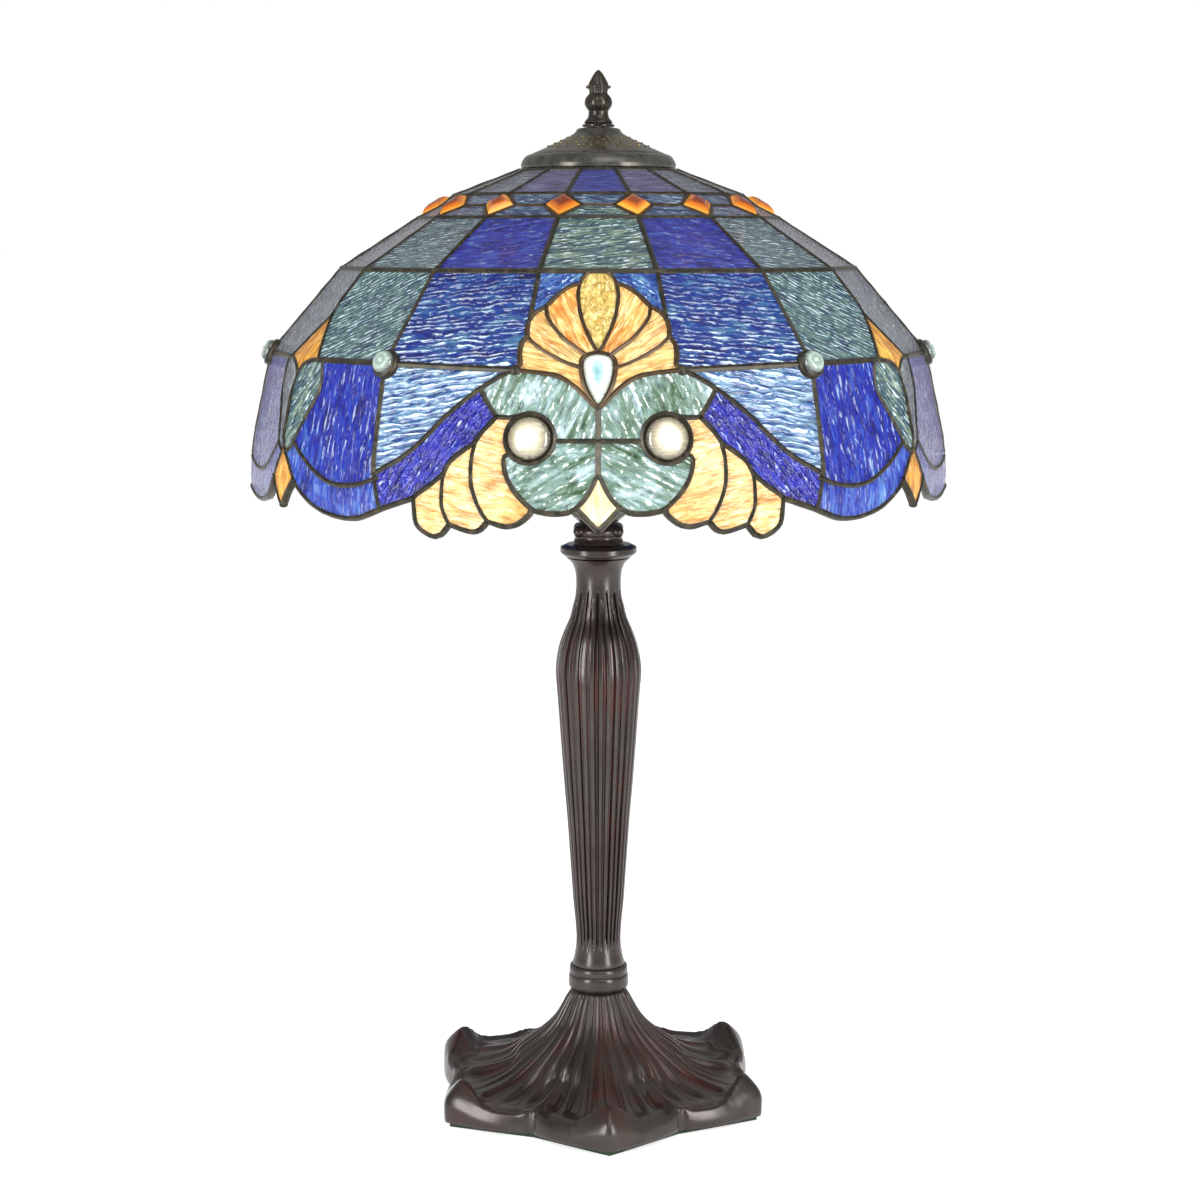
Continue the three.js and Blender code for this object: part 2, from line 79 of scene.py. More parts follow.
def srgb(red, green, blue):
    """A colour given as 0-255 values, as the linear colour that nodes take."""
    def linear(value):
        v = value / 255
        return v / 12.92 if v <= 0.04045 else ((v + 0.055) / 1.055) ** 2.4
    return (linear(red), linear(green), linear(blue), 1.0)


def smooth_step(low, high, value):
    t = min(1.0, max(0.0, (value - low) / (high - low)))
    return t * t * (3 - 2 * t)


def hump(distance, width):
    return math.exp(-((distance / width) ** 2))


def wave_noise(x, y, z=0.0):
    return noise.noise(Vector((x, y, z)))


def between(x, table):
    """Straight-line interpolation in a list of (x, y) pairs sorted by x, extended past its ends."""
    for (x1, y1), (x2, y2) in zip(table, table[1:]):
        if x <= x2:
            break
    return y1 + (y2 - y1) * (x - x1) / (x2 - x1)


def curve_through(points, step):
    """A point about every step on a smooth curve through points (Catmull-Rom), straight between only two."""
    if len(points) == 2:
        start, end = points
        count = max(1, round((end - start).length / step))
        return [start] + [start.lerp(end, i / count) for i in range(1, count + 1)]
    padded = [2 * points[0] - points[1]] + list(points) + [2 * points[-1] - points[-2]]
    out = [points[0]]
    for a, b, c, d in zip(padded, padded[1:], padded[2:], padded[3:]):
        count = max(1, round((c - b).length / step))
        for i in range(1, count + 1):
            t = i / count
            out.append(0.5 * (2 * b + (c - a) * t + (2 * a - 5 * b + 4 * c - d) * t ** 2
                              + (3 * b - a - 3 * c + d) * t ** 3))
    return out


class Piece:
    """Vertices, faces and surface notes of one object, gathered in millimetres."""

    def __init__(self):
        self.vertices = []
        self.faces = []
        self.grain = []
        self.groove = []

    def vertex(self, place, grain=(0, 0, 0), groove=0.0):
        self.vertices.append(place)
        self.grain.append(grain)
        self.groove.append(groove)
        return len(self.vertices) - 1

    def build(self, name, material, body, slot, replaces=(), smooth=True, sharp=35):
        mesh = bpy.data.meshes.new(name)
        mesh.from_pydata([Vector(v) * MM for v in self.vertices], [], self.faces)
        grain = mesh.attributes.new("grain", "FLOAT_VECTOR", "POINT")
        grain.data.foreach_set("vector", [c * MM for g in self.grain for c in g])
        groove = mesh.attributes.new("groove", "FLOAT", "POINT")
        groove.data.foreach_set("value", self.groove)
        mesh.materials.append(material)
        mesh.validate()
        if smooth:
            mesh.shade_smooth()
            mesh.set_sharp_from_angle(angle=math.radians(sharp))
        piece = bpy.data.objects.new(name, mesh)
        bpy.context.scene.collection.objects.link(piece)
        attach(piece, body)
        if replaces:
            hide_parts(*replaces)
        return piece


def bridge(piece, loops, closed=False):
    """Faces between each loop of vertices and the next, and from the last to the first if closed."""
    for a, b in zip(loops, loops[1:] + loops[:1] if closed else loops[1:]):
        for k in range(len(a)):
            n = (k + 1) % len(a)
            piece.faces.append((a[k], a[n], b[n], b[k]))


def lathe(piece, profile, segments=96, relief=None, groove=None, turn=Matrix()):
    """A closed turned body. relief(azimuth, radius, height) pushes the surface out, groove gives its tint.

    The profile goes round the section with the metal on its left; it closes on itself off the axis.
    """
    start = len(piece.vertices)
    count = len(profile)
    for i in range(segments):
        azimuth = 360 * i / segments
        angle = math.radians(azimuth)
        for radius, height in profile:
            r = radius + (relief(azimuth, radius, height) if relief else 0.0)
            tint = groove(azimuth, radius, height) if groove else 0.0
            place = turn @ Vector((r * math.sin(angle), -r * math.cos(angle), height))
            piece.vertex(place, (radius * angle, height, 0), tint)
    for i in range(segments):
        a = start + i * count
        b = start + (i + 1) % segments * count
        for k in range(count):
            n = (k + 1) % count
            piece.faces.append((a + k, b + k, b + n, a + n))


def ball(piece, centre, radius, squash=(1, 1, 1), turn=Matrix(), rings=6, segments=10, groove=0.0):
    """A small bead, which may be flattened along its own axes."""
    start = len(piece.vertices)
    for j in range(1, rings):
        polar = math.pi * j / rings
        for i in range(segments):
            angle = 2 * math.pi * i / segments
            flat = math.sin(polar)
            local = Vector((flat * math.cos(angle), flat * math.sin(angle), math.cos(polar)))
            local = Vector([c * s * radius for c, s in zip(local, squash)])
            piece.vertex(Vector(centre) + turn @ local, tuple(centre), groove)
    top = piece.vertex(Vector(centre) + turn @ Vector((0, 0, squash[2] * radius)), tuple(centre), groove)
    bottom = piece.vertex(Vector(centre) - turn @ Vector((0, 0, squash[2] * radius)), tuple(centre), groove)
    for i in range(segments):
        n = (i + 1) % segments
        piece.faces.append((top, start + i, start + n))
        last = start + (rings - 2) * segments
        piece.faces.append((bottom, last + n, last + i))
        for j in range(rings - 2):
            a = start + j * segments
            b = a + segments
            piece.faces.append((a + i, b + i, b + n, a + n))


# ---------------------------------------------------------------- materials

class Nodes:
    """A material's node tree, with a call for each kind of node used here."""

    def __init__(self, name):
        self.material = bpy.data.materials.new(name)
        self.material.use_nodes = True
        self.tree = self.material.node_tree
        self.shader = self.tree.nodes["Principled BSDF"]

    def node(self, kind, inputs=(), **settings):
        made = self.tree.nodes.new(kind)
        for key, value in settings.items():
            setattr(made, key, value)
        for key, value in dict(inputs).items():
            self.feed(made.inputs[key], value)
        return made

    def feed(self, socket, value):
        if isinstance(value, bpy.types.NodeSocket):
            self.tree.links.new(value, socket)
        else:
            socket.default_value = value

    def set(self, name, value):
        self.feed(self.shader.inputs[name], value)

    def math(self, operation, *values, clamp=False):
        made = self.tree.nodes.new("ShaderNodeMath")
        made.operation = operation
        made.use_clamp = clamp
        for socket, value in zip(made.inputs, values):
            self.feed(socket, value)
        return made.outputs[0]

    def mix(self, factor, a, b, blend="MIX"):
        made = self.tree.nodes.new("ShaderNodeMix")
        made.data_type = "RGBA"
        made.blend_type = blend
        self.feed(made.inputs[0], factor)
        self.feed(made.inputs[6], a)
        self.feed(made.inputs[7], b)
        return made.outputs[2]

    def noise(self, vector, scale, detail=4.0, roughness=0.55, distortion=0.0):
        return self.node("ShaderNodeTexNoise", {
            "Vector": vector, "Scale": scale, "Detail": detail, "Roughness": roughness,
            "Distortion": distortion,
        }).outputs[0]

    def stretch(self, vector, scale):
        return self.node("ShaderNodeMapping", {"Vector": vector, "Scale": scale}).outputs[0]

    def ramp(self, factor, stops):
        made = self.tree.nodes.new("ShaderNodeValToRGB")
        elements = made.color_ramp.elements
        while len(elements) < len(stops):
            elements.new(0.5)
        for element, (position, colour) in zip(elements, stops):
            element.position = position
            element.color = colour
        self.feed(made.inputs[0], factor)
        return made.outputs[0]

    def range(self, value, low, high, to_low=0.0, to_high=1.0):
        return self.node("ShaderNodeMapRange", {
            "Value": value, "From Min": low, "From Max": high, "To Min": to_low, "To Max": to_high,
        }).outputs[0]

    def attribute(self, name, output):
        return self.node("ShaderNodeAttribute", attribute_name=name).outputs[output]

    def bump(self, height, strength, distance):
        """Sets the shader's normal from a height."""
        made = self.node("ShaderNodeBump", {"Height": height, "Strength": strength, "Distance": distance})
        self.set("Normal", made.outputs[0])

    def place(self):
        return self.node("ShaderNodeTexCoord").outputs["Object"]

    def glow(self, colour, strength):
        self.set("Emission Color", colour)
        self.set("Emission Strength", strength)


# Colours are given as 0-255 values from here on; the tints multiply a colour and are linear.
GRAZING = (100, 96, 108)  # painted reflection: glass seen edge-on is mixed towards this grey, standing in for the studio reflected in it
# Painted highlights: these two colours stand in for softbox reflections on the tops of the glass's ripples.
PALE = (206, 228, 238)
WARM_CREST = (255, 244, 206)
RIB_TONE = (150, 92, 38)
# Painted shade, multiplied into the troughs of the glass's ripples.
HOLLOW_TINT = (0.22, 0.26, 0.34, 1)
# Darker along the lead of each piece: partly patina, partly painted shade beside the raised lead.
RIM_TINT = (0.15, 0.16, 0.18, 1)
LIT_HEIGHTS = (0.545, 0.42)  # metres: the painted light of the bulbs shining through the glass is weak at the first and full below the second


def art_glass(name, colours, streak=(60, 220), ripple=(150, 420), crest=PALE, crests=0.5, crest_from=0.6,
              hollows=0.5, ribs=0.0, rib_share=0.6, glow=0.16, turbulence=1.2, rough=0.09, lower_rows=None,
              dulls=0.8, waves=0.35, wave_gap=3.2):
    """Rolled art glass: drifting streaks of colour, and ripples whose tops carry a painted highlight and
    whose troughs a painted shade.

    streak and ripple give noise cells a metre along and across the grain, ribs the dark lines a metre.
    The pair of heights given as rows, (top, bottom) in metres, makes the painted highlight on the ripple tops
    grow from nothing at the top to full at the bottom. wave_gap is the distance between wave tops in
    millimetres, waves their share of the relief.
    """
    n = Nodes(name)
    grain = n.attribute("grain", "Vector")
    wide = n.noise(n.stretch(grain, (streak[1], streak[0], 1000)), 1.0, 5.0, 0.62, turbulence)
    steps = [(0.32 + 0.36 * i / (len(colours) - 1), srgb(*c)) for i, c in enumerate(colours)]
    colour = n.ramp(wide, steps)
    if ribs:
        lines = n.noise(n.stretch(grain, (ribs, 55, 1000)), 1.0, 3.0, 0.7, 1.4)
        shade = n.range(lines, 0.52, 0.4)
        colour = n.mix(n.math("MULTIPLY", shade, rib_share, clamp=True), colour, srgb(*RIB_TONE))

    up = n.node("ShaderNodeSeparateXYZ", {"Vector": n.place()}).outputs[2]
    patches = n.noise(n.stretch(grain, (ripple[1], ripple[0], 1000)), 1.0, 2.0, 0.5, 1.0)
    lines = n.node("ShaderNodeTexWave", {
        "Vector": n.stretch(grain, (1, 0.45, 200)), "Scale": 314 / wave_gap, "Distortion": 7.0, "Detail": 2.0,
        "Detail Scale": 1.2, "Detail Roughness": 0.55,
    }, wave_type="BANDS", bands_direction="X").outputs[1]
    ripples = n.math("ADD", 0.5, n.math("MULTIPLY", n.math("SUBTRACT", lines, 0.5), 0.36))
    height = n.math("ADD", n.math("MULTIPLY", patches, 1 - waves), n.math("MULTIPLY", ripples, waves))
    # Painted shade: the ripple troughs are darkened as if shaded.
    hollow = n.math("MULTIPLY", n.range(height, 0.45, 0.33), hollows, clamp=True)
    colour = n.mix(hollow, colour, HOLLOW_TINT, "MULTIPLY")
    # Painted highlight: the ripple tops take a light colour standing in for softbox reflections; when rows
    # are given it grows from nothing at the top of the shade to full lower down.
    pale = n.math("MULTIPLY", n.range(height, crest_from, crest_from + 0.07), crests, clamp=True)
    if lower_rows:
        pale = n.math("MULTIPLY", pale, n.range(up, lower_rows[0], lower_rows[1]))
    colour = n.mix(pale, colour, srgb(*crest))
    # The outer points of each piece are darkened: partly patina, partly painted shade beside the lead.
    rim = n.math("MULTIPLY", n.attribute("groove", "Fac"), 0.5)
    colour = n.mix(rim, colour, RIM_TINT, "MULTIPLY")

    # Painted reflection: seen edge-on the glass's colour, and so its glow, goes towards grey, standing in for
    # the reflected studio; the share sets how far.
    edge = n.node("ShaderNodeLayerWeight", {"Blend": 0.5}).outputs[1]
    grazing = n.math("MULTIPLY", n.range(edge, 0.55, 0.9), dulls)
    body = n.mix(grazing, colour, srgb(*GRAZING))
    n.set("Base Color", body)
    n.set("Roughness", rough)
    n.set("Specular IOR Level", 0.45)
    n.bump(height, 1.0, 0.0022)
    # Painted light: emission in the glass's own colour stands in for the bulbs shining through it, weaker
    # near the crown.
    n.glow(body, n.math("MULTIPLY", n.range(up, *LIT_HEIGHTS, 0.35, 1.0), glow))
    return n.material


def jewel_glass(name, colours, glow, coat, cloudy=0.5):
    """Pressed jewels: colours run from the middle of the jewel to its edge, more unevenly when cloudy. The
    dark outer ring of the round jewels is painted shade, the amber's bright edge a painted glint on its
    bevels.
    """
    n = Nodes(name)
    grain = n.attribute("grain", "Vector")
    out = n.attribute("groove", "Fac")
    cloud = n.noise(n.stretch(grain, (220, 220, 900)), 1.0, 4.0, 0.6, 1.5)
    where = n.math("ADD", out, n.math("MULTIPLY", n.math("SUBTRACT", cloud, 0.5), cloudy))
    colour = n.ramp(where, [(i / (len(colours) - 1), srgb(*c)) for i, c in enumerate(colours)])
    n.set("Base Color", colour)
    n.set("Roughness", 0.08)
    n.set("Specular IOR Level", 0.4)
    n.set("Coat Weight", coat)
    n.set("Coat Roughness", 0.03)
    # Painted light: emission in the jewel's own colour stands in for the bulbs shining through it.
    n.glow(colour, glow)
    n.bump(cloud, 0.12, 0.0008)
    return n.material


def aged_metal(name, base, light, dark, groove, rough, metallic, grain_scale, wear, stain=None):
    """Painted or plated metal: tone drifts over it, and its grooves keep another colour."""
    base, light, dark, groove = (srgb(*c) for c in (base, light, dark, groove))
    n = Nodes(name)
    place = n.place()
    drift = n.noise(place, grain_scale, 5.0, 0.6, 0.4)
    colour = n.ramp(drift, [(0.3, dark), (0.5, base), (0.72, light)])
    depth = n.attribute("groove", "Fac")
    if stain:
        patchy = n.noise(n.stretch(place, (42, 42, 14)), 1.0, 3.0, 0.6, 0.5)
        groove = n.mix(n.range(patchy, 0.42, 0.6), groove, srgb(*stain))
        hue = n.math("MULTIPLY", n.range(patchy, 0.5, 0.7), 0.35)
        colour = n.mix(hue, colour, srgb(*stain))
    colour = n.mix(n.math("MULTIPLY", depth, 0.9, clamp=True), colour, groove)
    fine = n.noise(place, 900, 3.0, 0.6)
    n.set("Base Color", colour)
    n.set("Metallic", metallic)
    n.set("Roughness", n.math("ADD", rough, n.math("MULTIPLY", n.math("SUBTRACT", drift, 0.5), wear)))
    n.set("Specular IOR Level", 0.5)
    n.bump(n.math("ADD", n.math("MULTIPLY", fine, 0.35), drift), 0.18, 0.0006)
    return n.material


def toned(n, factor, colour, share):
    """The base colour, darker in places."""
    colour = srgb(*colour)
    darker = tuple(c * share for c in colour[:3]) + (1.0,)
    n.set("Base Color", n.ramp(factor, [(0.3, darker), (0.65, colour)]))


def plain_metal(name, colour, rough, brushed):
    """Bare metal with fine drawn lines; brushed gives the lines a metre."""
    n = Nodes(name)
    lines = n.noise(n.stretch(n.place(), (brushed, brushed, brushed * 0.12)), 1.0, 4.0, 0.6)
    toned(n, lines, colour, 0.6)
    n.set("Metallic", 0.95)
    n.set("Roughness", n.range(lines, 0.2, 0.8, rough - 0.08, rough + 0.12))
    n.bump(lines, 0.1, 0.0004)
    return n.material


def plain_solid(name, colour, rough, scale, bump):
    """Felt, porcelain, nylon or frosted glass; scale gives the cells of its skin a metre."""
    n = Nodes(name)
    cloud = n.noise(n.place(), scale, 5.0, 0.65)
    toned(n, cloud, colour, 0.75)
    n.set("Roughness", rough)
    n.bump(cloud, bump, 0.0006)
    return n.material


COBALT = [(12, 16, 84), (16, 24, 122), (24, 42, 144), (44, 84, 152)]
WARM = dict(ripple=(70, 420), crest=WARM_CREST, hollows=0.3, rough=0.22)

GLASS_LOOKS = {}  # name: (record slot, material)


def add_look(name, slot, colours, **settings):
    GLASS_LOOKS[name] = (f"{slot}_glass", art_glass(f"{name}_glass", colours, **settings))


add_look("cobalt_panel", "cobalt", [(10, 17, 74), (15, 32, 106), (26, 60, 120), (60, 100, 132)],
         streak=(40, 130), ripple=(110, 300), crests=0.95, crest_from=0.578, lower_rows=(0.495, 0.446),
         waves=0.6)
add_look("violet_cobalt", "cobalt", [(18, 16, 80), (26, 30, 114), (38, 46, 138), (60, 84, 148)],
         streak=(70, 260), ripple=(110, 380), crests=0.2, glow=0.12)
add_look("cobalt_scallop", "cobalt", COBALT, streak=(55, 190), ripple=(100, 330), crests=0.45,
         waves=0.5, wave_gap=4.5)
add_look("cobalt_edge", "cobalt", [(16, 24, 96), (26, 42, 136), (48, 76, 162), (88, 126, 176)],
         streak=(40, 150), ripple=(80, 300), crests=0.2)
add_look("dark_cobalt", "cobalt", [(8, 8, 72), (12, 12, 106), (18, 22, 138), (32, 48, 156)],
         streak=(90, 300), ripple=(230, 420), crests=0.5, crest_from=0.615)
add_look("corner_blue", "cobalt", [(14, 32, 92), (26, 58, 130), (50, 90, 148), (104, 142, 168)],
         streak=(120, 260), ripple=(230, 430), crests=0.7)
add_look("grey_green", "grey_green", [(26, 46, 74), (52, 76, 88), (88, 110, 96), (150, 160, 148)],
         streak=(70, 300), ripple=(180, 460), crests=0.75, crest_from=0.58, hollows=0.9, glow=0.22,
         waves=0.45, wave_gap=2.6)
add_look("teal_panel", "grey_green", [(30, 46, 76), (48, 74, 88), (76, 104, 98), (116, 140, 140)],
         streak=(80, 280), ripple=(140, 430), crests=0.75, crest_from=0.575, hollows=0.9, waves=0.55,
         wave_gap=2.6)
add_look("blue_grey", "blue_grey", [(22, 38, 96), (44, 72, 124), (84, 118, 146), (140, 166, 178)],
         streak=(40, 170), ripple=(100, 340), crests=0.65, crest_from=0.57, hollows=0.95, turbulence=2.4,
         glow=0.22, waves=0.6, wave_gap=3.4)
add_look("band_blue", "blue_grey", [(28, 38, 66), (46, 60, 92), (76, 94, 118), (126, 146, 160)],
         streak=(90, 300), ripple=(120, 420), hollows=0.7, glow=0.2)
add_look("crown_violet", "cobalt", [(48, 46, 82), (60, 58, 104), (78, 76, 120), (104, 106, 140)],
         streak=(60, 300), ripple=(90, 420), crests=0.3, hollows=0.7, glow=0.2)
add_look("crown_teal", "grey_green", [(38, 50, 70), (56, 72, 88), (80, 98, 106), (118, 134, 138)],
         streak=(70, 320), ripple=(100, 430), crests=0.4, hollows=0.7, glow=0.2)
add_look("crown_blue", "cobalt", COBALT, streak=(60, 260), ripple=(100, 420), crests=0.1, glow=0.25)
add_look("aqua", "aqua", [(46, 70, 40), (82, 106, 88), (120, 144, 140), (168, 186, 190)],
         streak=(36, 130), ripple=(210, 380), crest=(236, 244, 244), crests=0.8, crest_from=0.58,
         hollows=0.75, glow=0.2, waves=0.45, wave_gap=4.0)
add_look("cream", "amber", [(178, 124, 56), (202, 160, 92), (218, 186, 120), (232, 212, 158)],
         streak=(40, 130), ribs=330.0, crests=0.4, glow=0.2, **WARM, dulls=0.4)
add_look("orange_cream", "amber", [(190, 108, 40), (216, 150, 72), (232, 188, 116), (244, 218, 160)],
         streak=(40, 120), ribs=310.0, crests=0.4, glow=0.2, **WARM, dulls=0.4)
add_look("mottled_gold", "amber", [(128, 104, 40), (172, 144, 70), (200, 176, 102), (226, 210, 150)],
         streak=(200, 260), ripple=(300, 380), crest=(250, 244, 214), crests=0.6, hollows=0.4,
         glow=0.3, rough=0.25)
add_look("deep_amber", "amber", [(146, 86, 16), (182, 122, 30), (206, 152, 50), (226, 184, 84)],
         streak=(40, 130), ribs=280.0, crests=0.25, glow=0.25, **WARM, dulls=0.15)
add_look("pale_cream", "amber", [(204, 172, 108), (222, 200, 146), (234, 220, 176), (242, 234, 200)],
         streak=(40, 130), ribs=280.0, rib_share=0.35, crests=0.4, glow=0.2, **WARM)

# The last colour of each list lies at the jewel's edge: dark on the round jewels as painted shade, bright on
# the amber as a painted glint.
AMBER_JEWEL = jewel_glass(
    "amber_jewel_glass", [(104, 38, 8), (150, 70, 12), (188, 104, 22), (226, 158, 56)], 0.16, 0.1, 1.0)
CABOCHON_GLASS = jewel_glass(
    "cabochon_glass", [(236, 231, 210), (222, 215, 190), (160, 152, 128), (58, 52, 42)], 0.14, 0.9)
SMALL_JEWEL_GLASS = jewel_glass(
    "small_jewel_glass", [(178, 194, 184), (122, 142, 134), (154, 172, 162), (58, 66, 60)], 0.05, 0.9)
TEARDROP_GLASS = jewel_glass(
    "teardrop_glass", [(80, 130, 138), (140, 176, 176), (214, 222, 214), (120, 126, 118)], 0.25, 0.9)
LEAD = aged_metal("patina_lead", (44, 40, 29), (76, 68, 48), (24, 22, 16), (80, 54, 24),
                  rough=0.38, metallic=0.5, grain_scale=220, wear=0.4)
BRONZE = aged_metal("bronze_paint", (47, 41, 37), (60, 54, 49), (36, 30, 27), (19, 13, 11),
                    rough=0.24, metallic=0.25, grain_scale=28, wear=0.2, stain=(62, 21, 15))
FINIAL_BRONZE = aged_metal("finial_bronze", (50, 43, 36), (74, 65, 54), (28, 24, 20),
                           (20, 15, 12), rough=0.26, metallic=0.45, grain_scale=160, wear=0.3)
ANTIQUE = aged_metal("antique_plate", (74, 73, 67), (94, 92, 84), (44, 42, 38), (104, 90, 50),
                     rough=0.3, metallic=0.6, grain_scale=120, wear=0.4)
GILT = aged_metal("worn_gilt", (126, 108, 62), (176, 158, 104), (70, 58, 34), (110, 90, 46),
                  rough=0.3, metallic=0.85, grain_scale=400, wear=0.4)
STEEL = plain_metal("zinc_steel", (168, 168, 170), 0.32, 700)
DARK_BRASS = plain_metal("darkened_brass", (72, 60, 38), 0.4, 500)
BRASS = plain_metal("plain_brass", (196, 160, 84), 0.28, 600)
FELT = plain_solid("green_felt", (44, 62, 46), 0.95, 1400, 0.9)
PORCELAIN = plain_solid("glazed_porcelain", (236, 232, 222), 0.18, 40, 0.03)
NYLON = plain_solid("black_nylon", (30, 30, 31), 0.45, 500, 0.15)
OPAL = plain_solid("frosted_bulb", (212, 208, 194), 0.35, 30, 0.02)

# ---------------------------------------------------------------- the shade's surface

HEIGHT_TO_RADIUS = [(z, r) for r, z in reversed(PROFILE)]
LOWER_PROFILE = [MIDDLE, LOWER] + SKIRT
LOWER_HEIGHT_TO_RADIUS = [(z, r) for r, z in reversed(LOWER_PROFILE)]
RIPPLE = 0.22  # how far the face of a glass piece swells, in millimetres
PANE_SPACING = 3.6
NETWORK_SPACING = 3.2
NETWORK_GAP = 1.7  # no filling point lies this near a lead line
NETWORK_FOOT = 352  # a height below the lowest edge of the skirt
SKIRT_LEAN = 0.985  # the skirt's height as a share of its length down the slope
CAME_SIDES = 8
DEGREE = 3.2  # millimetres a degree on the unrolled lower shade


def fold(azimuth, span=120):
    """Distance from the nearest middle of a third (or of a panel)."""
    return abs((azimuth + span / 2) % span - span / 2)


def flat_panel(azimuth, soften=0.0):
    """A flat panel lies nearer the axis between its joints; soften rounds the fold at a joint."""
    from_joint = HALF_PANEL - fold(azimuth, PANEL)
    from_joint = min(HALF_PANEL, math.hypot(from_joint, soften))
    return math.cos(math.radians(HALF_PANEL)) / math.cos(math.radians(HALF_PANEL - from_joint))


def polar(azimuth, radius, height):
    angle = math.radians(azimuth)
    return Vector((radius * math.sin(angle), -radius * math.cos(angle), height))


def upper_place(azimuth, height, depth=0.0):
    """A point of the three upper rows, each straight between two rings."""
    radius = between(height, HEIGHT_TO_RADIUS)
    slope = (between(height - 0.01, HEIGHT_TO_RADIUS) - between(height + 0.01, HEIGHT_TO_RADIUS)) / 0.02
    out = Vector((1, slope)).normalized()
    return polar(azimuth, radius * flat_panel(azimuth) + out.x * depth, height + out.y * depth)


def lower_radius(azimuth, height):
    """The bend at the top of the skirt is rounded across the shell and crisp along the lead ring."""
    reach = 2 + 12 * smooth_step(15, 9, fold(azimuth))
    weights = [(-1, 1), (-0.5, 2), (0, 2), (0.5, 2), (1, 1)]  # where, as a share of the reach, and how much
    mean = sum(w * between(height + reach * t, LOWER_HEIGHT_TO_RADIUS) for t, w in weights) / 8
    return mean * flat_panel(azimuth, joint_softness(azimuth, height))


def joint_softness(azimuth, height):
    """The fold at a joint is soft where a piece of glass crosses it: shell, kite and pendant."""
    away = fold(azimuth)
    if away < 24:
        return 3.5 * smooth_step(472, 452, height)
    kite = smooth_step(475, 465, height) * smooth_step(425, 438, height)
    pendant = smooth_step(404, 396, height)
    return 2.5 * smooth_step(48, 54, away) * max(kite, pendant)


def lower_place(azimuth, height, depth=0.0):
    """A point of the lower row and the skirt."""
    radius = lower_radius(azimuth, height)
    slope = (lower_radius(azimuth, height - 1) - lower_radius(azimuth, height + 1)) / 2
    out = Vector((1, slope)).normalized()
    return polar(azimuth, radius + out.x * depth, height + out.y * depth)


def arc_table(profile):
    """Height against distance walked down the profile, for unrolling it."""
    walked = 0.0
    table = [(profile[0][1], 0.0)]
    for (r1, z1), (r2, z2) in zip(profile, profile[1:]):
        walked += math.hypot(r2 - r1, z2 - z1)
        table.append((z2, walked))
    return sorted(table)


class Sheet:
    """The shade unrolled: x is azimuth times a fixed length a degree, y is minus the way down the profile."""

    def __init__(self, profile, degree, place):
        self.down = arc_table(profile)
        self.up = sorted((-walked, z) for z, walked in self.down)
        self.degree = degree
        self.place = place

    def flat(self, azimuth, height):
        return Vector((azimuth * self.degree, -between(height, self.down)))

    def lift(self, point, depth=0.0, turn=0.0):
        return self.place(point.x / self.degree + turn, between(point.y, self.up), depth)


LOWER_SHEET = Sheet(LOWER_PROFILE, DEGREE, lower_place)


def row_sheet(top, bottom):
    degree = math.radians((top[0] + bottom[0]) / 2)
    return Sheet([top, bottom], degree, upper_place)


def add_slab(piece, sheet, points, triangles, turn, grain, seed):
    """One piece of glass: triangles of the unrolled sheet, shrunk a little, given thickness and rolled up.

    grain is the direction of its streaks in degrees from straight up.
    """
    used = sorted({i for t in triangles for i in t})
    edges = dict.fromkeys(edge for a, b, c in triangles for edge in ((a, b), (b, c), (c, a)))
    rim = [e for e in edges if (e[1], e[0]) not in edges]
    inward = {i: Vector((0, 0)) for i in used}
    for a, b in rim:
        along = (points[b] - points[a]).normalized()
        for end in (a, b):
            inward[end] += Vector((-along.y, along.x))
    across = Matrix.Rotation(math.radians(-grain), 2)
    top, bottom = {}, {}
    for i in used:
        shift = inward[i].normalized() * INSET if inward[i].length > 0.1 else Vector((0, 0))
        flat = points[i] + shift
        wobble = 0.0 if shift.length else RIPPLE * wave_noise(flat.x * 0.16, flat.y * 0.2, seed * 3.7)
        # The outer points are marked for the darkening along the lead, partly patina and partly painted
        # shade.
        rim_tone = 1.0 if shift.length else 0.0
        note = across @ flat
        marks = (note.x + seed * 37, note.y + seed * 23, seed * 5)
        top[i] = piece.vertex(sheet.lift(flat, wobble, turn), marks, rim_tone)
        bottom[i] = piece.vertex(sheet.lift(flat, wobble - GLASS, turn), marks, rim_tone)
    for a, b, c in triangles:
        piece.faces.append((top[a], top[b], top[c]))
        piece.faces.append((bottom[c], bottom[b], bottom[a]))
    for a, b in rim:
        piece.faces.append((top[a], bottom[a], bottom[b], top[b]))


def grid_points(low, high, spacing):
    """Staggered points that fill a rectangle."""
    rows = int((high.y - low.y) / (spacing * 0.87)) + 1
    columns = int((high.x - low.x) / spacing) + 1
    return [Vector((low.x + (i + 0.5 * (j % 2)) * spacing, low.y + j * spacing * 0.87))
            for j in range(rows) for i in range(columns)]


def far_from(points, lines, gap):
    """The points that keep a distance from every point of the lines."""
    cells = {}
    for line in lines:
        for p in line:
            cells.setdefault((int(p.x // gap), int(p.y // gap)), []).append(p)
    kept = []
    for p in points:
        x, y = int(p.x // gap), int(p.y // gap)
        near = [q for i in (-1, 0, 1) for j in (-1, 0, 1) for q in cells.get((x + i, y + j), ())]
        if all((p - q).length > gap for q in near):
            kept.append(p)
    return kept


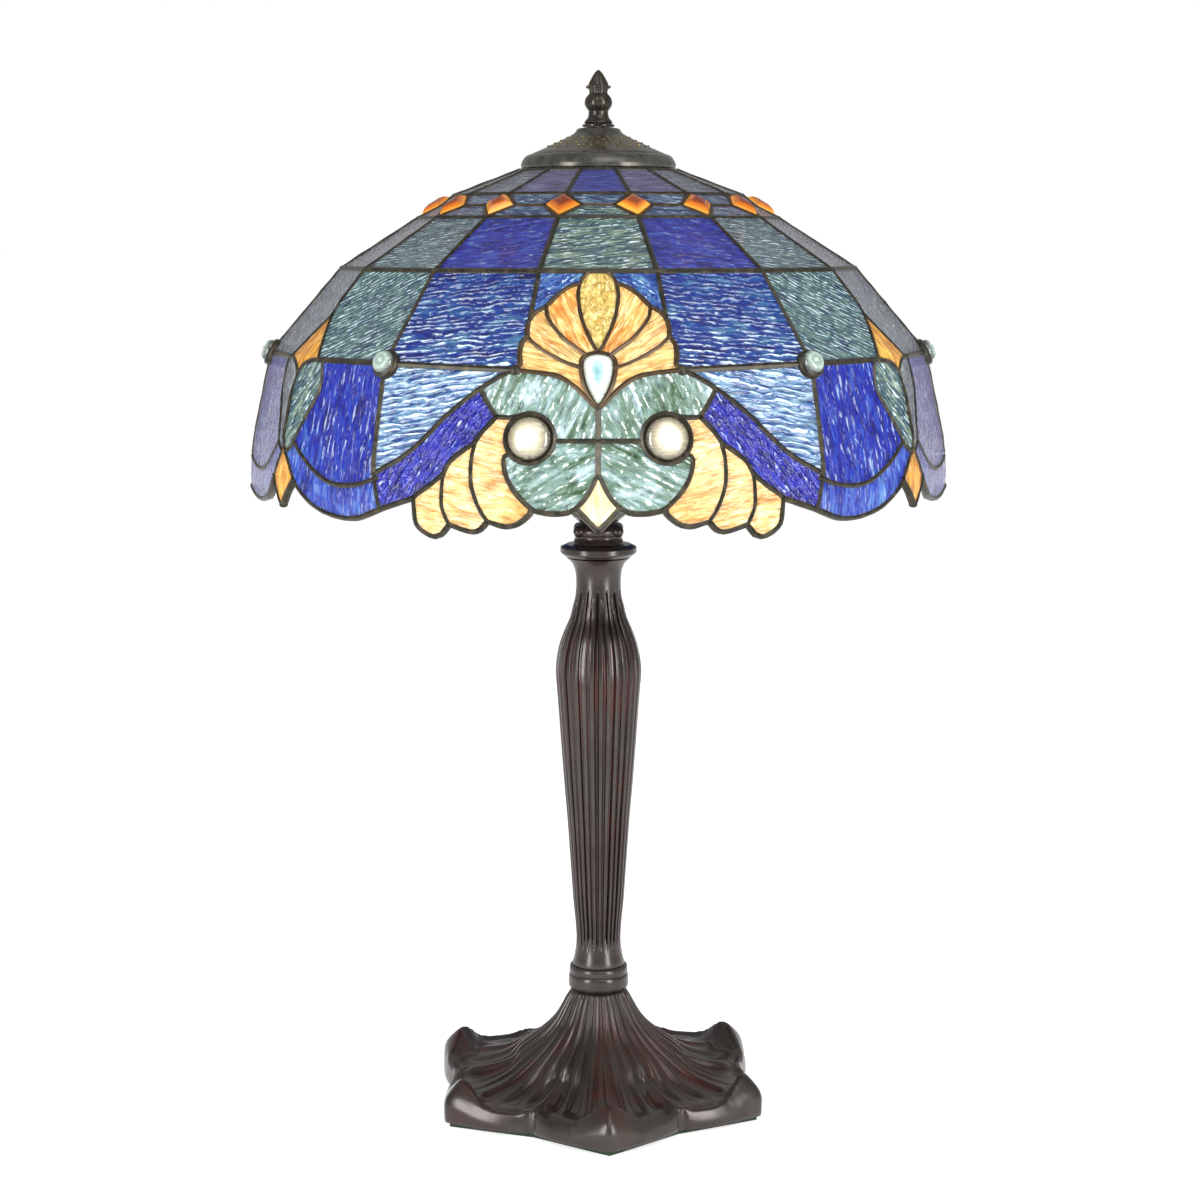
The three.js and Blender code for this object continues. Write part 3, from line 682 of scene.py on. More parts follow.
def slab_from_outline(piece, sheet, outline, turn, grain, seed):
    """One piece of glass from its outline, given as (azimuth, height) corners joined by straight cuts."""
    corners = [sheet.flat(*c) for c in outline]
    ring = []
    for a, b in zip(corners, corners[1:] + corners[:1]):
        count = max(1, round((b - a).length / PANE_SPACING))
        ring += [a.lerp(b, i / count) for i in range(count)]
    low = Vector((min(p.x for p in ring), min(p.y for p in ring)))
    high = Vector((max(p.x for p in ring), max(p.y for p in ring)))
    filling = far_from(grid_points(low, high, PANE_SPACING), [ring], PANE_SPACING * 0.6)
    face = list(range(len(ring)))
    points, _, faces, _, _, _ = delaunay_2d_cdt(ring + filling, [], [face], 1, 1e-4)
    triangles = [t for t in faces if inside_outline(sum((points[i] for i in t), Vector((0, 0))) / 3, ring)]
    add_slab(piece, sheet, points, counter_clockwise(points, triangles), turn, grain, seed)


def inside_outline(p, ring):
    odd = False
    for a, b in zip(ring, ring[1:] + ring[:1]):
        if (a.y > p.y) != (b.y > p.y) and p.x < a.x + (p.y - a.y) * (b.x - a.x) / (b.y - a.y):
            odd = not odd
    return odd


def counter_clockwise(points, triangles):
    turned = []
    for a, b, c in triangles:
        if (points[b] - points[a]).cross(points[c] - points[a]) < 0:
            b, c = c, b
        turned.append((a, b, c))
    return turned


def facing(out):
    """The turn that stands a piece's own Z along a direction."""
    return out.to_track_quat("Z", "Y").to_matrix().to_4x4()


def came_section(piece, centre, along, out, half_width, half_height, tint=0.0):
    side = along.cross(out).normalized()
    loop = []
    for k in range(CAME_SIDES):
        angle = 2 * math.pi * k / CAME_SIDES
        place = centre + side * (half_width * math.cos(angle)) + out * (half_height * math.sin(angle))
        loop.append(piece.vertex(place, groove=tint))
    return loop


def add_came(piece, sheet, line, width, turn=0.0, seed=0, height=CAME_HEIGHT, tint=0.0):
    """A soldered lead line: an oval bar that follows the sheet, a little uneven, with a blob at each end."""
    depth = -GLASS / 2
    path = [sheet.lift(p, depth, turn) for p in line]
    outs = [(sheet.lift(p, depth + 1, turn) - sheet.lift(p, depth, turn)).normalized() for p in line]
    closed = (line[0] - line[-1]).length < 1e-3
    loops = []
    for i, (centre, out) in enumerate(zip(path, outs)):
        before = path[i - 1] if i else (path[-2] if closed else path[0])
        after = path[i + 1] if i + 1 < len(path) else (path[1] if closed else path[-1])
        along = (after - before).normalized()
        lump = 1 + 0.12 * wave_noise(i * 0.45, seed * 7.1) if not closed else 1.0
        half = width / 2 * CAME_SWELL * lump
        loops.append(came_section(piece, centre, along, out, half, height * lump, tint))
    bridge(piece, loops)
    piece.faces.append(tuple(reversed(loops[0])))
    piece.faces.append(tuple(loops[-1]))
    if closed:
        return
    blob = width * 0.68
    for centre, out in ((path[0], outs[0]), (path[-1], outs[-1])):
        ball(piece, centre, blob, (1, 1, height * 1.12 / blob), facing(out), groove=tint)


# ---------------------------------------------------------------- the lower shade's pattern

J0 = (13.2, 442.8)  # where the shell, the lobe and the band meet
B0 = (15.7, 419.4)  # where the band meets the cabochon's lead
CABOCHON = (10.35, 409.1)
CABOCHON_RADIUS = 11
CABOCHON_CAME = 12.3
SMALL_JEWEL = (36, 444.5)
SMALL_JEWEL_RADIUS = 6.2
KITE_SIDE = (54.4, 444.4)
PENDANT_SIDE = (56.2, 381)
EDGE_START = (28.8, 377.6)  # the band's lowest corner, on the lower edge

# Lead lines of half a motif, (azimuth, height). The other half is its mirror image, and the motif repeats
# every 120 degrees. Each entry: width, whether it runs as a curve, points.
HALF_LINES = [
    (2.0, True, [(0, 491.5), (1.7, 490.8), (3.2, 487.8), (3.85, 481.2), (3.6, 474.9), (2.9, 467.4),
                 (1.85, 460.6), (0.8, 454.7), (0, 451)]),
    (2.6, True, [(3.75, 485), (5, 484.2), (6, 483), (7.85, 479.1), (9.05, 475.2), (9.6, 473.6)]),
    (2.0, True, [(9.6, 473.6), (9.3, 470.9), (8.9, 468), (7.6, 463.3), (5.7, 457.8), (3.6, 453.5),
                 (1.7, 449.4)]),
    (2.6, True, [(9.6, 473.6), (11.15, 471.1), (12, 467.7), (12.2, 462.7), (12, 459)]),
    (2.0, True, [(12, 459), (10.6, 455.3), (8.95, 452), (7, 448.9), (4.9, 446.1), (2.4, 443.3)]),
    (2.8, True, [(12, 459), (12.75, 455.6), (12.75, 450), (12.4, 445.6), J0]),
    (2.6, True, [J0, (11.5, 442.2), (9, 441.3), (7, 440.3), (5.4, 438.4), (3.9, 435.3), (2.5, 431.4),
                 (1.2, 427.2), (0, 424)]),
    (2.6, True, [(0, 451.2), (1.6, 450.4), (2.55, 448.3), (2.75, 445), (2.7, 442), (2.2, 435.8),
                 (1.25, 429.8), (0, 424)]),
    (3.2, False, [J0, SMALL_JEWEL]),
    (3.2, False, [SMALL_JEWEL, KITE_SIDE]),
    (2.6, True, [J0, (15.6, 439.3), (18, 434.6), (19.6, 431.2), (22.1, 425), (24.7, 417.8), (27, 409.8),
                 (29.4, 402.2), (31.9, 396), (34.4, 391.3), (35.7, 388.2)]),
    (2.6, True, [(18.6, 432.8), (17.3, 426.3), B0]),
    (2.6, True, [B0, (18, 411.3), (19.2, 406), (21, 401.8), (22.9, 396.6), (23.9, 390.8), (25.6, 385.6),
                 (27.9, 380.1), EDGE_START]),
    (2.4, True, [(35.7, 388.2), (35.3, 382), (34.5, 370.6)]),
    (2.6, True, [B0, (13.8, 419.2), (11.9, 420)]),
    (2.6, False, [(6.9, 407.9), (0, 407.9)]),
    (2.6, True, [(13, 402), (14, 400), (14.1, 396), (13.6, 389.8), (12.5, 383.4), (11.1, 378.1), (10, 374.6),
                 (9.3, 373.2), (7, 371.9), (4.6, 372.4), (3.2, 374.8)]),
    (2.4, True, [(0, 390.6), (0.4, 389.1), (1, 384.6), (2.1, 378.5), (3.2, 374.8)]),
    (2.8, True, [(3.2, 374.8), (2.1, 370.4), (0, 363.2)]),
    (2.6, True, [(9.9, 374.4), (10.1, 371.6), (11.7, 367), (13.1, 365.2), (14.4, 365.3), (16.6, 367.3)]),
    (2.2, True, [(18.9, 406.4), (19.3, 400.3), (19.4, 392.7), (19.2, 385.1), (18.4, 377.6), (17.5, 371.6),
                 (16.6, 367.3)]),
    (2.6, True, [(16.6, 367.3), (17.8, 363), (19.1, 361.6), (21, 362.8), (22.9, 364.8)]),
    (2.2, True, [(23.5, 394.4), (24, 388.3), (24.1, 380.6), (24, 373.7), (23.5, 369), (22.9, 364.8)]),
    (2.6, True, [(22.9, 364.8), (24.3, 359.4), (25.4, 358.1), (26.9, 359.8), (28.4, 364.3), (28.7, 372),
                 EDGE_START]),
    (2.6, True, [EDGE_START, (31.4, 374.5), (34.2, 371.2), (36.2, 368.3), (39.5, 364.9), (43.3, 364),
                 (47.1, 365.2), (50.4, 368), (53, 372.3), (55, 377), PENDANT_SIDE]),
    (2.6, True, [(35.2, 386.4), (38.9, 382.6), (43.2, 380.9), (47, 382), (50.5, 386.3), (53.3, 391.4),
                 (55.4, 396), (57.2, 401)]),
    (2.6, True, [(53, 444.4), (52.4, 436), (52.3, 429), (53.4, 422), (54.8, 415), (56, 408.3), (56.8, 403),
                 (57.6, 398.4), (59.4, 394.4)]),
    (2.6, False, [(60, 467.3), KITE_SIDE]),
    (2.6, True, [KITE_SIDE, (56.8, 443.3), (58.6, 441.2), (60, 437.3)]),
    (2.6, False, [(60, 398), PENDANT_SIDE]),
    (2.6, False, [PENDANT_SIDE, (60, 366)]),
    (2.4, False, [(12, 491.5), (12, 467.2)]),
    (2.4, False, [(36, 491.5), SMALL_JEWEL]),
    (2.8, True, [SMALL_JEWEL, (36, 430), (35.9, 400), (35.7, 388.2)]),
]
# Lines that lie on a mirror plane, so they have no mirror image.
MIDDLE_LINES = [(3.0, False, [(0, 424), (0, 390.6)])]
JOINT_LINES = [(2.4, False, [(60, 491.5), (60, 467.3)]), (2.8, False, [(60, 437.3), (60, 398)])]

# Glass pieces of half a motif: a place inside each, its look and the direction of its streaks.
HALF_GLASS = [
    ((24, 470), "cobalt_panel", 84),
    ((9.5, 485), "corner_blue", 60),
    ((7, 475), "orange_cream", -28),
    ((9.5, 461), "cream", -52),
    ((10, 448.5), "cream", -74),
    ((4, 425), "aqua", 20),
    ((5, 390), "aqua", 60),
    ((16.5, 390), "cream", -78),
    ((21.5, 380), "cream", -80),
    ((26, 368), "cream", -82),
    ((26, 398), "dark_cobalt", 35),
    ((28, 430), "blue_grey", 80),
    ((44, 410), "cobalt_scallop", 4),
    ((44, 372), "cobalt_edge", 2),
    ((57, 420), "grey_green", 40),
    ((48, 470), "teal_panel", 62),
]
MIDDLE_GLASS = [((0, 475), "mottled_gold", 0), ((0, 377), "pale_cream", 0)]
JOINT_GLASS = [((60, 450), "deep_amber", 0), ((60, 381), "deep_amber", 0)]


def mirrored(line, sign):
    width, curved, points = line
    return width, curved, [(sign * azimuth, height) for azimuth, height in points]


def traced(line, step=2.6):
    """A pattern line as points of the unrolled sheet, about a step apart."""
    _, curved, points = line
    flat = [LOWER_SHEET.flat(*p) for p in points]
    if curved:
        return curve_through(flat, step)
    dense = [flat[0]]
    for a, b in zip(flat, flat[1:]):
        dense += curve_through([a, b], step)[1:]
    return dense


def circle_on_sheet(centre, radius, count=36):
    """A true circle round a place of the skirt, closed, as points of the unrolled sheet."""
    azimuth, height = centre
    degree = math.radians(lower_radius(azimuth, height))
    points = []
    for i in range(count + 1):
        angle = 2 * math.pi * i / count
        points.append(LOWER_SHEET.flat(azimuth + radius * math.cos(angle) / degree,
                                       height + radius * math.sin(angle) * SKIRT_LEAN))
    return points


def run_over(line, length=1.3):
    """The line with both ends carried on a little, so that it surely meets the lines it ends at."""
    first = line[0] + (line[0] - line[1]).normalized() * length
    last = line[-1] + (line[-1] - line[-2]).normalized() * length
    return [first] + line + [last]


class Network:
    """The unrolled lower shade cut into triangles along its lead lines."""

    REACH = 68  # degrees to both sides: past the joint glass at 60

    def __init__(self):
        lines = [run_over(traced(mirrored(line, sign))) for line in HALF_LINES for sign in (1, -1)]
        lines += [run_over(traced(line)) for line in MIDDLE_LINES]
        lines += [run_over(traced(mirrored(line, sign))) for line in JOINT_LINES for sign in (1, -1)]
        lines += [circle_on_sheet((sign * CABOCHON[0], CABOCHON[1]), CABOCHON_CAME) for sign in (1, -1)]
        turned = 120 * DEGREE
        for side in (turned, -turned):
            lines += [[Vector((p.x + side, p.y)) for p in line] for line in list(lines)
                      if any(abs(p.x + side) < self.REACH * DEGREE for p in line)]
        top = LOWER_SHEET.flat(0, MIDDLE[1]).y
        edge = (self.REACH + 14) * DEGREE
        lines.append([Vector((-edge, top)), Vector((edge, top))])
        points, edges = [], []
        for line in lines:
            start = len(points)
            points += line
            edges += [(start + i, start + i + 1) for i in range(len(line) - 1)]
        low = Vector((-edge, LOWER_SHEET.flat(0, NETWORK_FOOT).y))
        points += far_from(grid_points(low, Vector((edge, top)), NETWORK_SPACING), lines, NETWORK_GAP)
        self.points, edge_list, faces, _, origins, _ = delaunay_2d_cdt(points, edges, [], 0, 1e-3)
        self.walls = {tuple(sorted(e)) for e, origin in zip(edge_list, origins) if origin}
        self.triangles = counter_clockwise(self.points, faces)
        self.beside = {}
        for number, (a, b, c) in enumerate(self.triangles):
            for e in ((a, b), (b, c), (c, a)):
                self.beside.setdefault(tuple(sorted(e)), []).append(number)

    def at(self, point):
        for number, (a, b, c) in enumerate(self.triangles):
            pa, pb, pc = self.points[a], self.points[b], self.points[c]
            if ((pb - pa).cross(point - pa) >= 0 and (pc - pb).cross(point - pb) >= 0
                    and (pa - pc).cross(point - pc) >= 0):
                return number
        raise ValueError(f"nothing at {point}")

    def region(self, place):
        """All triangles that can be reached from a place without crossing a lead line."""
        reached = {self.at(LOWER_SHEET.flat(*place))}
        todo = list(reached)
        while todo:
            a, b, c = self.triangles[todo.pop()]
            for e in ((a, b), (b, c), (c, a)):
                key = tuple(sorted(e))
                if key in self.walls:
                    continue
                for other in self.beside[key]:
                    if other not in reached:
                        reached.add(other)
                        todo.append(other)
        return [self.triangles[t] for t in reached]


def build_lower_shade():
    """The lower panel row and the skirt: glass, lead lines and jewels, in thirds."""
    network = Network()
    panes = []
    for place, look, grain in HALF_GLASS:
        for sign in (1, -1):
            panes.append(((sign * place[0], place[1]), look, sign * grain))
    panes += MIDDLE_GLASS + JOINT_GLASS
    regions = [(network.region(place), look, grain) for place, look, grain in panes]
    for third, turn in THIRDS.items():
        looks = {}
        for number, (triangles, look, grain) in enumerate(regions):
            piece = looks.setdefault(look, Piece())
            seed = number + 50 * (turn // 120 + 1)
            add_slab(piece, LOWER_SHEET, network.points, triangles, turn, grain, seed)
        for number, (look, piece) in enumerate(looks.items()):
            slot, material = GLASS_LOOKS[look]
            stands_for = [f"{third}_skirt_glass"] if number == 0 else []
            if third == "front" and number == 0:
                stands_for.append("lower_glass")
            piece.build(f"{third}_{look}_glass", material, "shade", slot, stands_for)
        build_lower_cames(third, turn)
        build_jewels(third, turn)


AMBER_NEIGHBOURS = 8  # the first lines of the list frame the warm petals, and their lead looks browner


def build_lower_cames(third, turn):
    shell, skirt = Piece(), Piece()
    for number, line in enumerate(HALF_LINES):
        piece = shell if number < AMBER_NEIGHBOURS else skirt
        for sign in (1, -1):
            tint = 0.5 if number < AMBER_NEIGHBOURS else 0.0
            path = traced(mirrored(line, sign))
            add_came(piece, LOWER_SHEET, path, line[0], turn, number + sign, tint=tint)
    for number, line in enumerate(MIDDLE_LINES + JOINT_LINES):
        add_came(skirt, LOWER_SHEET, traced(line), line[0], turn, 70 + number)
    for sign in (1, -1):
        ring = circle_on_sheet((sign * CABOCHON[0], CABOCHON[1]), CABOCHON_CAME)
        add_came(skirt, LOWER_SHEET, ring, 2.8, turn, height=CAME_HEIGHT + 0.4)
        pool = LOWER_SHEET.flat(sign * J0[0], J0[1])
        out = LOWER_SHEET.lift(pool, 1, turn) - LOWER_SHEET.lift(pool, 0, turn)
        ball(skirt, LOWER_SHEET.lift(pool, -GLASS / 2, turn), 3.4, (1, 1, 0.78), facing(out), 8, 14)
    rings = ["rim_came", "lead_ring_4"] if third == "front" else []
    shell.build(f"{third}_shell_cames", LEAD, "shade", "lead_came")
    skirt.build(f"{third}_skirt_cames", LEAD, "shade", "lead_came", rings)


# ---------------------------------------------------------------- jewels

def add_dome(piece, outline, shape, back, rings=9, tone=1.0):
    """A pressed jewel: outline(t, depth) is its loop at a share t of its size, shape(t) its height there."""
    loops = []
    count = len(outline(1, 0))
    for j in range(rings):
        t = math.cos(math.pi / 2 * j / rings)
        loops.append([piece.vertex(p, tuple(p), t * tone) for p in outline(t, shape(t))])
    loops.insert(0, [piece.vertex(p, tuple(p), tone) for p in outline(1, back)])
    tip = outline(0, shape(0))[0]
    centre = piece.vertex(tip, tuple(tip), 0.0)
    bridge(piece, loops)
    for k in range(count):
        piece.faces.append((loops[-1][k], loops[-1][(k + 1) % count], centre))
    piece.faces.append(tuple(reversed(loops[0])))


def round_outline(azimuth, height, radius, turn, count=28):
    """Loops round a place on the lower shade, all in the plane that touches the shade there."""
    base = lower_place(azimuth + turn, height)
    out = (lower_place(azimuth + turn, height, 1) - base).normalized()
    side = Vector((0, 0, 1)).cross(out).normalized()
    up = out.cross(side)

    def loop(share, depth):
        places = []
        for k in range(count):
            angle = 2 * math.pi * k / count
            offset = side * math.cos(angle) + up * math.sin(angle)
            places.append(base + offset * radius * share + out * depth)
        return places
    return loop


def teardrop_outline(turn):
    half = [(0, 450.2), (1.3, 449.5), (2.15, 447.8), (2.35, 445), (2.3, 442), (1.8, 435.8), (1.0, 430.4)]
    places = half + [(0, 426)] + [(-a, z) for a, z in reversed(half[1:])]
    flat = [LOWER_SHEET.flat(*p) for p in places]
    smooth = curve_through(flat + [flat[0]], 1.6)[:-1]
    if sum(a.cross(b) for a, b in zip(smooth, smooth[1:])) < 0:
        smooth.reverse()
    middle = LOWER_SHEET.flat(0, 441)

    def loop(share, depth):
        return [LOWER_SHEET.lift(middle.lerp(p, share), depth, turn) for p in smooth]
    return loop


def build_jewels(third, turn):
    """A teardrop, two cabochons, and two small dimpled jewels, each in a pool of lead."""
    def jewel(name, node, material, outline, shape, rings=9):
        piece = Piece()
        add_dome(piece, outline, shape, -GLASS, rings)
        piece.build(f"{third}_{name}", material, "shade", "clear_jewel", [f"{third}_{node}"])

    jewel("teardrop", "teardrop_jewel", TEARDROP_GLASS, teardrop_outline(turn),
          lambda t: 0.4 + 3.4 * math.sqrt(1 - t * t))
    for sign, hand in ((1, "right"), (-1, "left")):
        azimuth, height = CABOCHON
        jewel(f"{hand}_round_jewel", f"{hand}_cabochon", CABOCHON_GLASS,
              round_outline(sign * azimuth, height, CABOCHON_RADIUS, turn),
              lambda t: 0.6 + 4.6 * math.sqrt(1 - t * t))
        azimuth, height = SMALL_JEWEL
        jewel(f"{hand}_pearl", f"{hand}_small_jewel", SMALL_JEWEL_GLASS,
              round_outline(sign * azimuth, height, SMALL_JEWEL_RADIUS, turn),
              lambda t: 2.2 + 3.2 * math.sqrt(1 - t * t) + 0.25 * math.cos(9 * t), 14)
        seat = Piece()
        loop = round_outline(sign * azimuth, height, SMALL_JEWEL_RADIUS + 1.7, turn)
        add_dome(seat, loop, lambda t: 2.2 * math.sqrt(max(0, 1 - t ** 6)) - 0.2, -GLASS - 0.6, 8, 0.0)
        seat.build(f"{third}_{hand}_pearl_seat", LEAD, "shade", "lead_came")


# ---------------------------------------------------------------- the three upper rows

DIAMOND_HALF = 6.5  # degrees from a diamond's middle to its side corners
DIAMOND_SIDE = HALF_PANEL - DIAMOND_HALF  # the same corners, from a panel's middle
DIAMOND_INSET = 0.7  # degrees that a jewel ends inside its lead at the sides
DIAMOND_MARGIN = 1.3  # millimetres that it ends inside its lead above and below
# Each ring: depth, share of size, and place on the jewel's colour ramp; the bright outer ring carries the
# painted glint.
DIAMOND_FACETS = [(-GLASS, 1.0, 1.0), (0.3, 1.0, 1.0), (2.8, 0.66, 0.5), (3.6, 0.36, 0.0)]
PANELS = 15
BAND_MIDDLE = ((BAND_TOP[0] + BAND_BOTTOM[0]) / 2, (BAND_TOP[1] + BAND_BOTTOM[1]) / 2)

CROWN_LOOKS = ["crown_blue", "crown_violet", "crown_teal", "crown_teal", "crown_violet"]
UPPER_LOOKS = ["grey_green", "violet_cobalt", "teal_panel", "teal_panel", "violet_cobalt"]


def level_pane(low, high, top_half=HALF_PANEL):
    """A pane from joint to joint between two heights, with half its top's width in degrees."""
    return [(-HALF_PANEL, low), (HALF_PANEL, low), (top_half, high), (-top_half, high)]


def build_upper_rows():
    crown = row_sheet(CROWN, BAND_TOP)
    band = row_sheet(BAND_TOP, BAND_BOTTOM)
    upper = row_sheet(BAND_BOTTOM, MIDDLE)
    groups = {}
    for panel in range(PANELS):
        turn = PANEL * panel
        kind = panel % 5
        lean = 1 if kind in (1, 2) else -1
        rows = [
            ("crown", crown, CROWN_LOOKS[kind], 88, level_pane(BAND_TOP[1], CROWN[1] - 1)),
            ("jewel_row", band, "band_blue", 80, [
                (-HALF_PANEL, BAND_TOP[1]), (-DIAMOND_SIDE, BAND_MIDDLE[1]),
                (DIAMOND_SIDE, BAND_MIDDLE[1]), (HALF_PANEL, BAND_TOP[1])]),
            ("jewel_row", band, "grey_green" if kind == 0 else "band_blue", 86,
             level_pane(BAND_BOTTOM[1], BAND_MIDDLE[1], DIAMOND_SIDE)),
            ("upper", upper, UPPER_LOOKS[kind], lean * 78, level_pane(MIDDLE[1], BAND_BOTTOM[1])),
        ]
        for number, (row, sheet, look, grain, outline) in enumerate(rows):
            piece = groups.setdefault((row, look), Piece())
            slab_from_outline(piece, sheet, outline, turn, grain, 200 + PANELS * number + panel)
    nodes = {"crown": "crown_glass", "jewel_row": "jewel_band_glass", "upper": "upper_glass"}
    for (row, look), piece in groups.items():
        slot, material = GLASS_LOOKS[look]
        stands_for = [nodes.pop(row)] if row in nodes else []
        piece.build(f"{row}_{look}_glass", material, "shade", slot, stands_for)
    build_upper_cames(crown, band, upper)
    build_diamonds()


def build_upper_cames(crown, band, upper):
    rings = ((crown, BAND_TOP[1], 2.8), (upper, BAND_BOTTOM[1], 2.6), (upper, MIDDLE[1], 3.4),
             (crown, CROWN[1] - 0.6, 2.8))
    for number, (sheet, height, width) in enumerate(rings):
        ring = Piece()
        add_ring_came(ring, sheet, height, width)
        stands_for = [f"lead_ring_{number + 1}"] if number < 3 else []
        ring.build(f"ring_came_{number + 1}", LEAD, "shade", "lead_came", stands_for)
    crown_lines, band_lines, upper_lines = Piece(), Piece(), Piece()
    sides = [[(sign * DIAMOND_SIDE, BAND_MIDDLE[1]), (sign * HALF_PANEL, ring[1])]
             for sign in (1, -1) for ring in (BAND_TOP, BAND_BOTTOM)]
    sides.append([(-DIAMOND_SIDE, BAND_MIDDLE[1]), (DIAMOND_SIDE, BAND_MIDDLE[1])])
    for panel in range(PANELS):
        turn = PANEL * panel
        joint = [crown.flat(HALF_PANEL, CROWN[1] - 0.5), crown.flat(HALF_PANEL, BAND_TOP[1])]
        add_came(crown_lines, crown, curve_through(joint, 4), 2.4, turn, panel)
        joint = [upper.flat(HALF_PANEL, BAND_BOTTOM[1]), upper.flat(HALF_PANEL, MIDDLE[1])]
        add_came(upper_lines, upper, curve_through(joint, 4), 2.8, turn, panel + 20)
        for number, ends in enumerate(sides):
            line = curve_through([band.flat(*p) for p in ends], 3)
            add_came(band_lines, band, line, 2.4, turn, panel + number * 16, tint=0.4)
    crown_lines.build("crown_cames", LEAD, "shade", "lead_came")
    band_lines.build("jewel_row_cames", LEAD, "shade", "lead_came")
    upper_lines.build("upper_row_cames", LEAD, "shade", "lead_came")


def add_ring_came(piece, sheet, height, width, count=180):
    """A ring of lead round the shade at a height."""
    loops = []
    for i in range(count):
        point = sheet.flat(360 * i / count, height)
        azimuth = point.x / sheet.degree
        centre = sheet.lift(point, -GLASS / 2)
        out = (sheet.lift(point, 1) - sheet.lift(point, 0)).normalized()
        lump = 1 + 0.08 * wave_noise(azimuth * 0.35, width)
        loops.append(came_section(piece, centre, polar(azimuth + 90, 1, 0), out,
                                  width / 2 * CAME_SWELL * lump, CAME_HEIGHT * 1.05 * lump))
    bridge(piece, loops, closed=True)


def build_diamonds():
    """Fifteen faceted amber jewels, each in one plane across a panel joint."""
    piece = Piece()
    for panel in range(PANELS):
        joint = PANEL * panel + HALF_PANEL
        top = upper_place(joint, BAND_TOP[1] - DIAMOND_MARGIN)
        bottom = upper_place(joint, BAND_BOTTOM[1] + DIAMOND_MARGIN)
        right = upper_place(joint + DIAMOND_HALF - DIAMOND_INSET, BAND_MIDDLE[1])
        left = upper_place(joint - DIAMOND_HALF + DIAMOND_INSET, BAND_MIDDLE[1])
        out = (right - left).cross(top - bottom).normalized()
        centre = (top + bottom + left + right) / 4
        corners = [bottom, right, top, left]
        loops = [[piece.vertex(centre + (c - centre) * share + out * depth, tuple(centre), tone)
                  for c in corners] for depth, share, tone in DIAMOND_FACETS]
        for a, b in zip(loops, loops[1:]):
            for k in range(4):
                n = (k + 1) % 4
                piece.faces.append((a[k], a[n], b[n]))
                piece.faces.append((a[k], b[n], b[k]))
        piece.faces.append(tuple(loops[-1]))
        piece.faces.append(tuple(reversed(loops[0])))
    piece.build("amber_diamonds", AMBER_JEWEL, "shade", "amber_jewel", smooth=False)


# ---------------------------------------------------------------- base

RIBS = 36
RIB_DEPTH = 1.5
BASE_SECTIONS = 540


def from_tip(azimuth):
    return fold(azimuth - BASE_TURN, 360 / LOBES)


def base_outline(azimuth):
    """Nearly straight from each tip to the notches beside it, with a slight swell."""
    half = math.radians(180 / LOBES)
    a = math.radians(math.hypot(from_tip(azimuth), 1.2))
    straight = TIP_RADIUS * NOTCH_RADIUS * math.sin(half)
    straight /= TIP_RADIUS * math.sin(a) + NOTCH_RADIUS * math.sin(max(0.0, half - a))
    return min(straight + 3.2 * math.sin(math.pi * a / half), TIP_RADIUS)


def base_section(azimuth):
    """The casting's section at an azimuth: its smooth upper side, from the collar to the foot."""
    tip = hump(from_tip(azimuth), 9)
    notch = hump(180 / LOBES - from_tip(azimuth), 4)
    reach = base_outline(azimuth)
    rim = 14.3 + 12.7 * tip + 2.8 * notch
    rim_radius = reach - 3.2 - 8.5 * tip
    bowl = 13.6 + 4.0 * notch + 1.5 * tip
    inner = [
        (15.6, 66), (17.2, 63.4), (19.6, 59.6), (22.3, 54.3), (27.2, 46.6), (34.8, 38.9), (47, 29.6),
        (reach * 0.6, 20.8 + 2.5 * notch), (reach * 0.76, bowl + 1.4), (rim_radius - 7 - 2 * tip, bowl),
        (rim_radius - 2.6 - 0.8 * tip, rim - 2.2 - 3 * tip), (rim_radius - 0.6, rim),
        (rim_radius + 1.4, rim - 0.8), (reach - 0.9, rim - 4.4 - 6 * tip), (reach, 7),
        (reach - 0.2, FOOT + 0.8),
    ]
    return curve_through([Vector(p) for p in inner], 2.4)


